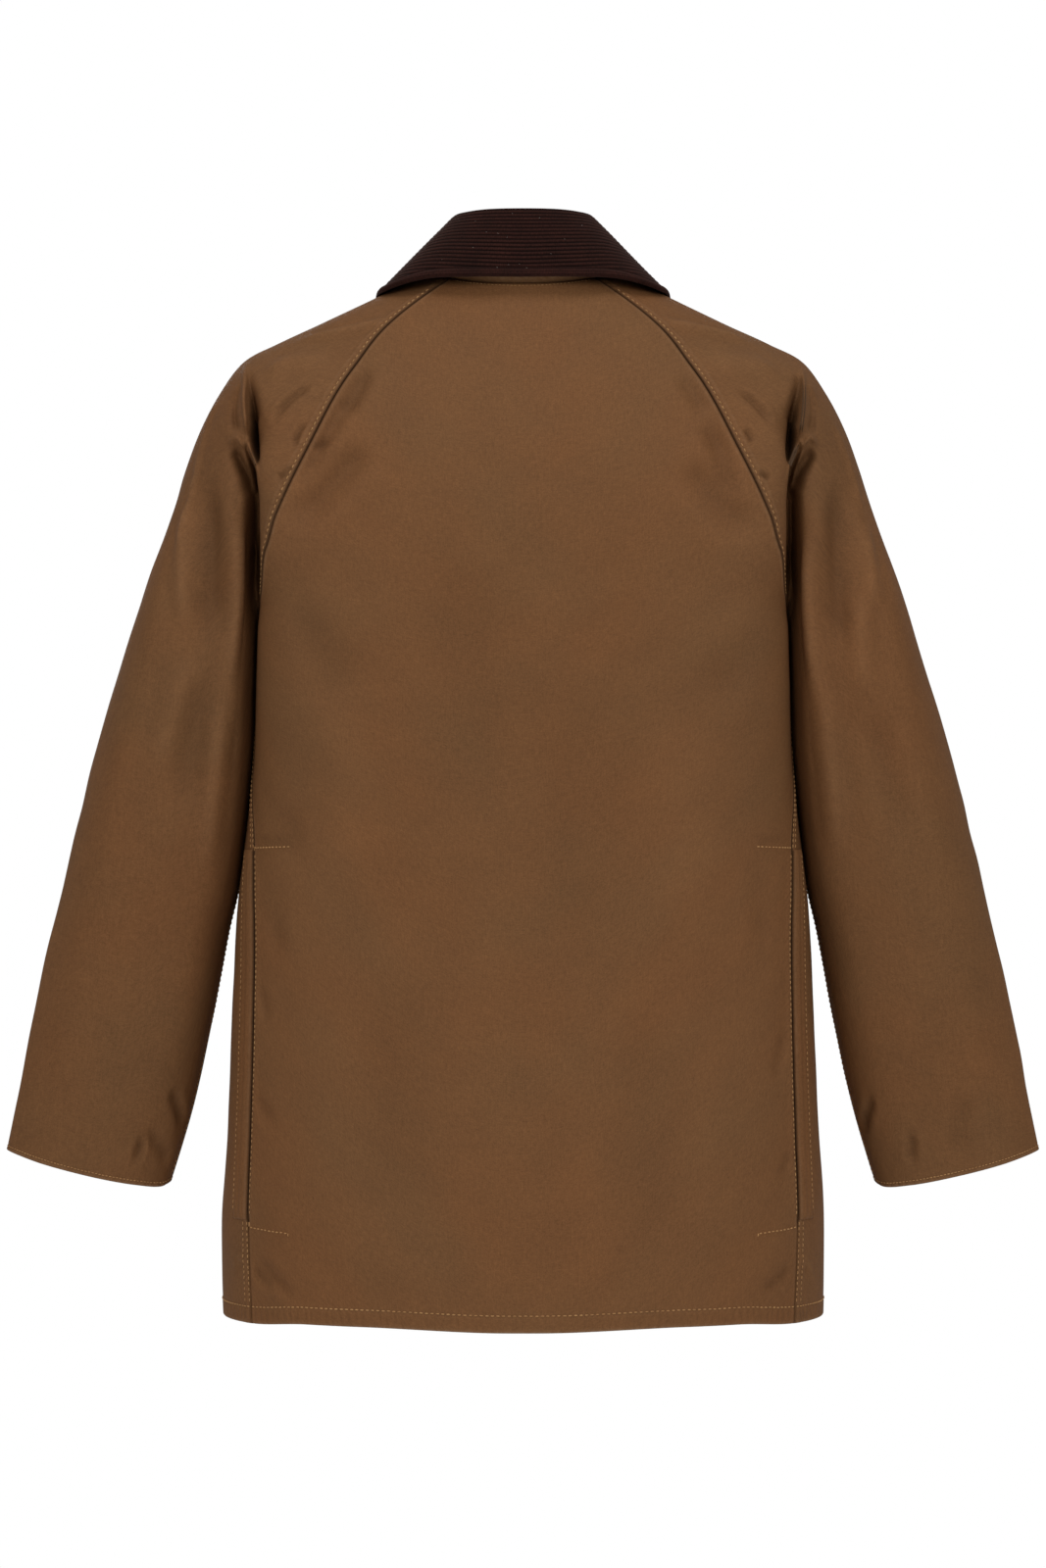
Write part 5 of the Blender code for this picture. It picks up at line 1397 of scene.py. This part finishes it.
def on_grid(p, out, n, s, distance, end, stations):
    """Place and direction on a panel, at a station and a distance from one of its seams."""
    gaps = p.near if end == "near" else p.far
    i = int(np.clip(np.searchsorted(stations, s), 1, len(stations) - 1))
    share = (s - stations[i - 1]) / (stations[i] - stations[i - 1])
    got = []
    for row in (i - 1, i):
        order = np.argsort(gaps[row])
        got.append(
            [np.interp(distance, gaps[row][order], grid[row, order, k]) for grid in (out, n) for k in range(3)]
        )
    value = np.array(got[0]) * (1 - share) + np.array(got[1]) * share
    return value[:3], unit(value[3:])


for end in ("far", "near"):
    for bar in BARS:
        line, facing = [], []
        for t in np.linspace(0, 1, 14):
            place, up = on_grid(
                back, back_out, back_n, bar.s_start + (bar.s_end - bar.s_start) * t,
                bar.from_seam + (bar.to_seam - bar.from_seam) * t, end, BODY_ROWS,
            )  # fmt: skip
            line.append(place)
            facing.append(up)
        sew("back", np.array(line), np.array(facing), pitch=0.0038, length=0.0026, radius=0.00058, seed=14)
    for s, away in ((1.4225, 0.0010), (1.9240, 0.0010)):
        place, up = on_grid(back, back_out, back_n, s, away, end, BODY_ROWS)
        lower, _ = on_grid(back, back_out, back_n, s + 0.004, away, end, BODY_ROWS)
        knot("back", place, unit(lower - place), up)

strip_s = np.linspace(WELT_TOP_S, WELT_END_S, 190)
for side, mirror in SIDES.items():
    at_u = np.linspace(0.70, 1.0, 120)
    grid = front_surface(strip_s, at_u, side == "right")[:, ::-1]
    facing = surface_normals(grid)
    facing *= np.sign(facing[0, 0, 0])
    length = run(grid)
    wanted = WELT_STEP + np.concatenate([[0, 0.0005, 0.0011, 0.0019], np.linspace(0.0028, WELT_WIDTH - 0.0030, 22), WELT_WIDTH - np.array([0.0022, 0.0016, 0.0010, 0.0005, 0])])
    pts = np.array([[[np.interp(w, at, row[:, k]) for k in range(3)] for w in wanted] for row, at in zip(grid, length)])
    up = unit(np.array([[[np.interp(w, at, row[:, k]) for k in range(3)] for w in wanted] for row, at in zip(facing, length)]))
    near = np.broadcast_to(wanted, pts.shape[:2]) - WELT_STEP
    far = WELT_WIDTH - near
    down = run(pts.transpose(1, 0, 2)).T
    rise = np.full(pts.shape[:2], SEAM_GAP + WELT_THICK + 0.0001)
    rise -= 0.0006 * rounded(far, 0.0014) + 0.0005 * rounded(near, 0.0020)
    rise += 0.0007 * bell((near - 0.0085) / 0.0030) + 0.0004 * bell((near - 0.0165) / 0.0026) + 0.0003 * value_noise(pts, 0.022, 61)
    rise -= 0.0004 * bell((far - 0.0026) / 0.0008)
    rise -= 0.0007 * rounded(np.minimum(down, down[-1:] - down), 0.0025)
    outer = pts + up * rise[..., None]
    normals = surface_normals(outer)
    normals *= np.sign((normals * up).sum(axis=2, keepdims=True))
    # paler edges, partly painted highlight, and painted shade where the strip meets the cloth and in its stitch row
    wear_and_highlight = 0.5 * bell(far / 0.0012) + 0.35 * bell((near - 0.0030) / 0.0016)
    dark = 0.9 * bell(near / 0.0012) + 0.2 * bell((far - 0.0026) / 0.0007)
    values = (
        ("cloth", np.stack([near, down, np.full(near.shape, 1.4)], -1), None),
        ("marks_and_painted_shade", np.stack([np.clip(wear_and_highlight, 0, 1), np.clip(dark, 0, 1), np.zeros(near.shape)], -1), 1.0),
        ("crimp_and_painted_shading", np.stack([np.zeros(near.shape), 0.7 * bell((far - 0.0026) / 0.005), np.zeros(near.shape)], -1), None),
    )
    obj = shell("cloth_pocket_strip_" + side, outer, outer - up * WELT_THICK, (0, 0.0003, 0, 0), STRIP_PAINTED_LIGHT, values, mirror)
    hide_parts("pocket_welt_" + side)
    columns = np.argmin(np.abs(far[0] - 0.0026))
    sew("front_" + side, outer[3:-3, columns], normals[3:-3, columns], mirror, seed=16)

# ---------------------------------------------------------------- collar
WALE_PITCH = 0.0033
WALE_HIGH = 0.00085
COLLAR_EDGE = 0.0060  # rolled edge below its stitch row
ROLLS = np.linspace(180.0, 24.0, 30)
collar_angles = np.concatenate([np.linspace(-174, -100, 34)[:-1], np.linspace(-100, 100, 111), np.linspace(100, 174, 34)[1:]])
FALL_AT = np.concatenate([np.linspace(0, 0.90, 128)[1:], np.linspace(0.90, 1.0, 20)[1:]])
_, fall, rolling = collar_sections(collar_angles, ROLLS, FALL_AT)
fall_n = surface_normals(fall)
middle = len(collar_angles) // 2
fall_n *= np.sign(fall_n[len(ROLLS) + 60, middle, 1])
fall_n[: len(ROLLS)] = rolling
for k in range(3):  # blend the directions where the roll ends
    a = len(ROLLS) - 1 + k
    fall_n[a] = unit(fall_n[a] * (0.75 - 0.25 * k) + fall_n[len(ROLLS) + 3] * (0.25 + 0.25 * k))
down = run(fall.transpose(1, 0, 2)).T
span = down[-1:]
from_edge = span - down
centre_span = span[0, middle]
# ribs keep their pitch near the fold and spread a little where the fall is wider
stretch = (span / centre_span) ** 0.55
rib_at = (down - down[len(ROLLS) // 2]) / (WALE_PITCH * stretch)
rib_at = rib_at + 0.05 * value_noise(fall * [1, 1, 1], 0.035, 71)
rib = np.abs(np.cos(pi * rib_at)) ** 0.75
body_part = smooth_step((from_edge - COLLAR_EDGE) / 0.0016)
worn_flat = 0.82 + 0.18 * value_noise(fall, 0.020, 72)
rise = WALE_HIGH * (rib - 1) * body_part * worn_flat
rise += 0.0009 * (1 - body_part) * np.sqrt(np.clip(1 - ((from_edge - 0.0030) / 0.0034) ** 2, 0, 1))
rise -= 0.0008 * bell((from_edge - COLLAR_EDGE) / 0.0010)
rise -= 0.0010 * rounded(from_edge, 0.0016)
rise += 0.0006 * value_noise(fall, 0.045, 73) * smooth_step(down / 0.03)
fall_outer = fall + fall_n * rise[..., None]
fall_inner = fall - fall_n * (CORD_CLOTH - 0.0004)
# the rolled edge's ribs are set lighter than the body's: painted highlight along the roll
edge_rib = np.abs(np.cos(pi * from_edge / 0.0021)) ** 0.8 * 0.65 + 0.45
top_of_rib = rib * body_part + edge_rib * (1 - body_part)
around = run(fall)
around = around - around[:, middle : middle + 1]
values = (
    ("cloth", np.stack([down, around, np.full(down.shape, 2.1)], -1), None),
    # rib tops for the painted light and shade of the wales, and painted shade in the groove above the rolled edge
    ("marks_and_painted_shade", np.stack([top_of_rib, 0.8 * bell((from_edge - COLLAR_EDGE) / 0.0009), np.zeros(down.shape)], -1), 1.0),
)
fall_obj = shell("cloth_collar_fall", fall_outer, fall_inner, (0.0008, 0.0008, 0.0010, 0.0008), CORD, values)
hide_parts("collar_fall")

stand, _, _ = collar_sections(collar_angles, ROLLS, FALL_AT)
stand = stand[0] + (stand[-1] - stand[0]) * np.linspace(0, 1, 12)[:, None, None]
seam_line = neck_line(collar_angles)
# the allowance goes on inside the neck edges
inward = unit(np.array([0.0, 0.0, 0.004]) - seam_line) * [1, 1, 0.4]
tuck = [seam_line + inward * 0.0040 - [0, 0, 0.0065], seam_line + inward * 0.0032 - [0, 0, 0.0028], seam_line + inward * 0.0016]
stand = np.concatenate([tuck, stand])
stand_n = surface_normals(stand)
stand_n *= np.sign(stand_n[4, middle, 1])
up_stand = run(stand.transpose(1, 0, 2)).T
up_stand = up_stand - up_stand[3:4]
stand_rise = -0.0007 * rounded(np.abs(up_stand), 0.0016) + 0.0003 * value_noise(stand, 0.03, 81)
stand_out = stand + stand_n * stand_rise[..., None]
stand_around = run(stand)
# painted light: the stand's middle, in the collar's shade, is made paler
stand_middle_painted_light = 1.3 * (1 - smooth_step((np.abs(collar_angles) - 40) / 20)) * (up_stand > 0)
# painted shade: the allowance tucked inside the neck, the neck seam line, and the stand's front under the fall
stand_painted_shade = np.where(up_stand < 0, 0.9, 0.8 * bell(up_stand / 0.0010))
stand_painted_shade = np.maximum(stand_painted_shade, 0.5 * smooth_step((np.abs(collar_angles) - 100) / 40))
values = (
    ("cloth", np.stack([stand_around, up_stand, np.full(up_stand.shape, 1.7)], -1), None),
    ("marks_and_painted_shade", np.stack([0.2 * bell((up_stand - 0.002) / 0.001) + stand_middle_painted_light, stand_painted_shade, np.zeros(up_stand.shape)], -1), 1.0),
    ("crimp_and_painted_shading", np.stack([0.7 * bell(up_stand / 0.004), np.zeros(up_stand.shape), np.zeros(up_stand.shape)], -1), None),
)
stand_obj = shell("cloth_collar_stand", stand_out, stand_out - stand_n * (CLOTH - 0.0002), (0, 0, 0, 0), STAND_PAINTED_LIGHT, values)
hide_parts("collar_stand")

# neck seam stitches on the back
neck_gap = back.top
columns = np.arange(16, back.pts.shape[1] - 16)
line, facing = cross_line(back, back_out, back_n, 0.0022, columns, neck_gap)
sew("back", line, facing, pitch=0.0030, length=0.0020, radius=0.00022, seed=17)

# ---------------------------------------------------------------- lint on the corduroy
Fleck = namedtuple("Fleck", "angle share turn length")
FLECKS = (
    Fleck(12.5, 0.90, 15, 0.0008), Fleck(7.5, 0.87, -10, 0.0007), Fleck(-2.5, 0.91, 5, 0.0008), Fleck(2.5, 0.86, 12, 0.0006),
    Fleck(9.0, 0.53, 60, 0.0010), Fleck(14.0, 0.48, -20, 0.0009), Fleck(27.0, 0.66, 15, 0.0011), Fleck(-10.5, 0.27, 8, 0.0010),
    Fleck(6.5, 0.21, -15, 0.0008), Fleck(21.0, 0.46, 30, 0.0009), Fleck(-24.0, 0.55, 70, 0.0008), Fleck(-40.0, 0.36, 25, 0.0009),
    Fleck(44.0, 0.80, -50, 0.0008), Fleck(-15.0, 0.74, 10, 0.0007), Fleck(33.0, 0.30, 80, 0.0007), Fleck(118.0, 0.50, 20, 0.0010),
    Fleck(-132.0, 0.42, -25, 0.0011), Fleck(80.0, 0.62, 50, 0.0009), Fleck(-72.0, 0.70, 15, 0.0009),
)  # fmt: skip
for k, fleck in enumerate(FLECKS):
    j = int(np.argmin(np.abs(collar_angles - fleck.angle)))
    i = int(np.argmin(np.abs(down[:, j] - fleck.share * span[0, j])))
    place, up = fall_outer[i, j], fall_n[i, j]
    along = unit(fall_outer[i, min(j + 1, len(collar_angles) - 1)] - fall_outer[i, j - 1])
    across = unit(np.cross(up, along))
    way = along * cos(radians(fleck.turn)) + across * sin(radians(fleck.turn))
    bend = across * cos(radians(fleck.turn)) - along * sin(radians(fleck.turn))
    line = np.array([place - way * fleck.length / 2, place + bend * fleck.length * 0.12, place + way * fleck.length / 2])
    sew("lint", line + up * 0.0003, np.array([up] * 3), 1.0, fleck.length * 0.95, fleck.length, 0.00011, 90 + k)

lint_rows = THREADS.pop("lint")
tie_off(THREAD_LOOK)
THREADS = {"lint": lint_rows}
tie_off(LINT)
lint = PIECES["thread_lint"]
lint.name = lint.data.name = "lint_flecks"

# ---------------------------------------------------------------- press-stud caps
CAP = ((0.0, 1.00), (0.20, 0.99), (0.42, 0.93), (0.60, 0.83), (0.70, 0.745), (0.745, 0.69), (0.775, 0.71), (0.82, 0.785), (0.885, 0.80), (0.945, 0.74), (0.985, 0.60), (1.0, 0.42), (0.995, 0.22), (0.97, 0.08), (0.90, 0.0), (0.0, 0.0))  # fmt: skip


def stud_cap(name, node, place, facing):
    along = unit(np.cross(facing, [1.0, 0.0, 0.0]))
    across = np.cross(along, facing)
    turns = 48
    points = [place + facing * STUD_HEIGHT * CAP[0][1]]
    for radius, rise in CAP[1:-1]:
        for k in range(turns):
            a = 2 * pi * k / turns
            points.append(place + STUD_RADIUS * radius * (across * cos(a) + along * sin(a)) + facing * STUD_HEIGHT * rise)
    points.append(place + facing * 0)
    rings = len(CAP) - 2
    faces = []
    for k in range(turns):
        m = (k + 1) % turns
        faces.append((0, 1 + k, 1 + m))
        for r in range(rings - 1):
            a, b = 1 + r * turns, 1 + (r + 1) * turns
            faces += [(a + k, b + k, b + m), (a + k, b + m, a + m)]
        last = 1 + (rings - 1) * turns
        faces.append((last + k, len(points) - 1, last + m))
    points, faces = np.array(points), np.array(faces)
    if signed_volume(points, faces) < 0:
        faces = faces[:, ::-1]
    obj = mesh_of(name, points, faces, BRASS)
    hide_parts(node)


coarse = np.linspace(0.0, 2.0, 60)
for k, z in enumerate(STUD_Z, 1):
    low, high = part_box("stud_%d" % k)
    s_at = np.interp(-z, -through(*body_rows(True), coarse)[:, 3], coarse)
    near = front_surface([s_at - 0.01, s_at, s_at + 0.01], [-0.02, 0.0, 0.02], False)
    facing = unit(np.cross(near[1, 2] - near[1, 0], near[2, 1] - near[0, 1]))
    facing *= -np.sign(facing[1])
    middle_of = np.array((low + high) / 2)
    stud_cap("press_stud_%d" % k, "stud_%d" % k, middle_of - facing * STUD_HEIGHT / 2, facing)

# ---------------------------------------------------------------- camera, floor and light
camera = bpy.data.objects.new("camera", bpy.data.cameras.new("camera"))
camera.location = (0.0, 3.83, -0.389)
camera.rotation_euler = (pi / 2, 0.0, pi)
camera.data.lens = 111.3
camera.data.sensor_height = 36.0
camera.data.sensor_fit = "VERTICAL"
bpy.context.scene.collection.objects.link(camera)
bpy.context.scene.camera = camera

floor_mesh = bpy.data.meshes.new("floor")
floor_mesh.from_pydata([(-2.6, -2.6, -1.45), (2.6, -2.6, -1.45), (2.6, 2.6, -1.45), (-2.6, 2.6, -1.45)], [], [(0, 1, 2, 3)])
floor = bpy.data.objects.new("floor", floor_mesh)
floor_look = bpy.data.materials.new("pale_floor")
floor_look.use_nodes = True
floor_look.node_tree.nodes["Principled BSDF"].inputs["Base Color"].default_value = (0.86, 0.86, 0.86, 1)
floor_look.node_tree.nodes["Principled BSDF"].inputs["Roughness"].default_value = 0.9
floor_mesh.materials.append(floor_look)
bpy.context.scene.collection.objects.link(floor)

AMBIENT = 0.32
world = bpy.data.worlds.new("studio")
world.use_nodes = True
ambient = world.node_tree.nodes["Background"]
ambient.inputs["Color"].default_value = (1.0, 0.985, 0.965, 1)
ambient.inputs["Strength"].default_value = AMBIENT
paper = world.node_tree.nodes.new("ShaderNodeBackground")  # the white behind the object
paper.inputs["Color"].default_value = (1, 1, 1, 1)
seen = world.node_tree.nodes.new("ShaderNodeLightPath")
either = world.node_tree.nodes.new("ShaderNodeMixShader")
join = world.node_tree.links.new
join(seen.outputs["Is Camera Ray"], either.inputs[0])
join(ambient.outputs[0], either.inputs[1])
join(paper.outputs[0], either.inputs[2])
join(either.outputs[0], world.node_tree.nodes["World Output"].inputs["Surface"])
bpy.context.scene.world = world

Lamp = namedtuple("Lamp", "name x y z width height watts")
LAMPS = (
    Lamp("left_box", 2.6, 2.9, 0.8, 1.1, 1.6, 29.0),
    Lamp("right_box", -2.6, 3.0, 0.7, 1.4, 1.9, 34.0),
    Lamp("over_box", 0.1, 3.6, 1.5, 2.2, 1.2, 14.0),
    Lamp("top_box", 0.0, 1.2, 3.0, 2.0, 1.4, 41.0),
    Lamp("front_box", 0.4, -3.8, 0.5, 2.0, 2.0, 38.0),
)
for lamp in LAMPS:
    light = bpy.data.lights.new(lamp.name, "AREA")
    light.shape, light.size, light.size_y, light.energy = "RECTANGLE", lamp.width, lamp.height, lamp.watts
    obj = bpy.data.objects.new(lamp.name, light)
    obj.location = (lamp.x, lamp.y, lamp.z)
    obj.rotation_euler = (Vector((0, 0, -0.36)) - obj.location).to_track_quat("-Z", "Y").to_euler()
    bpy.context.scene.collection.objects.link(obj)
bpy.context.scene.view_settings.view_transform = "Standard"
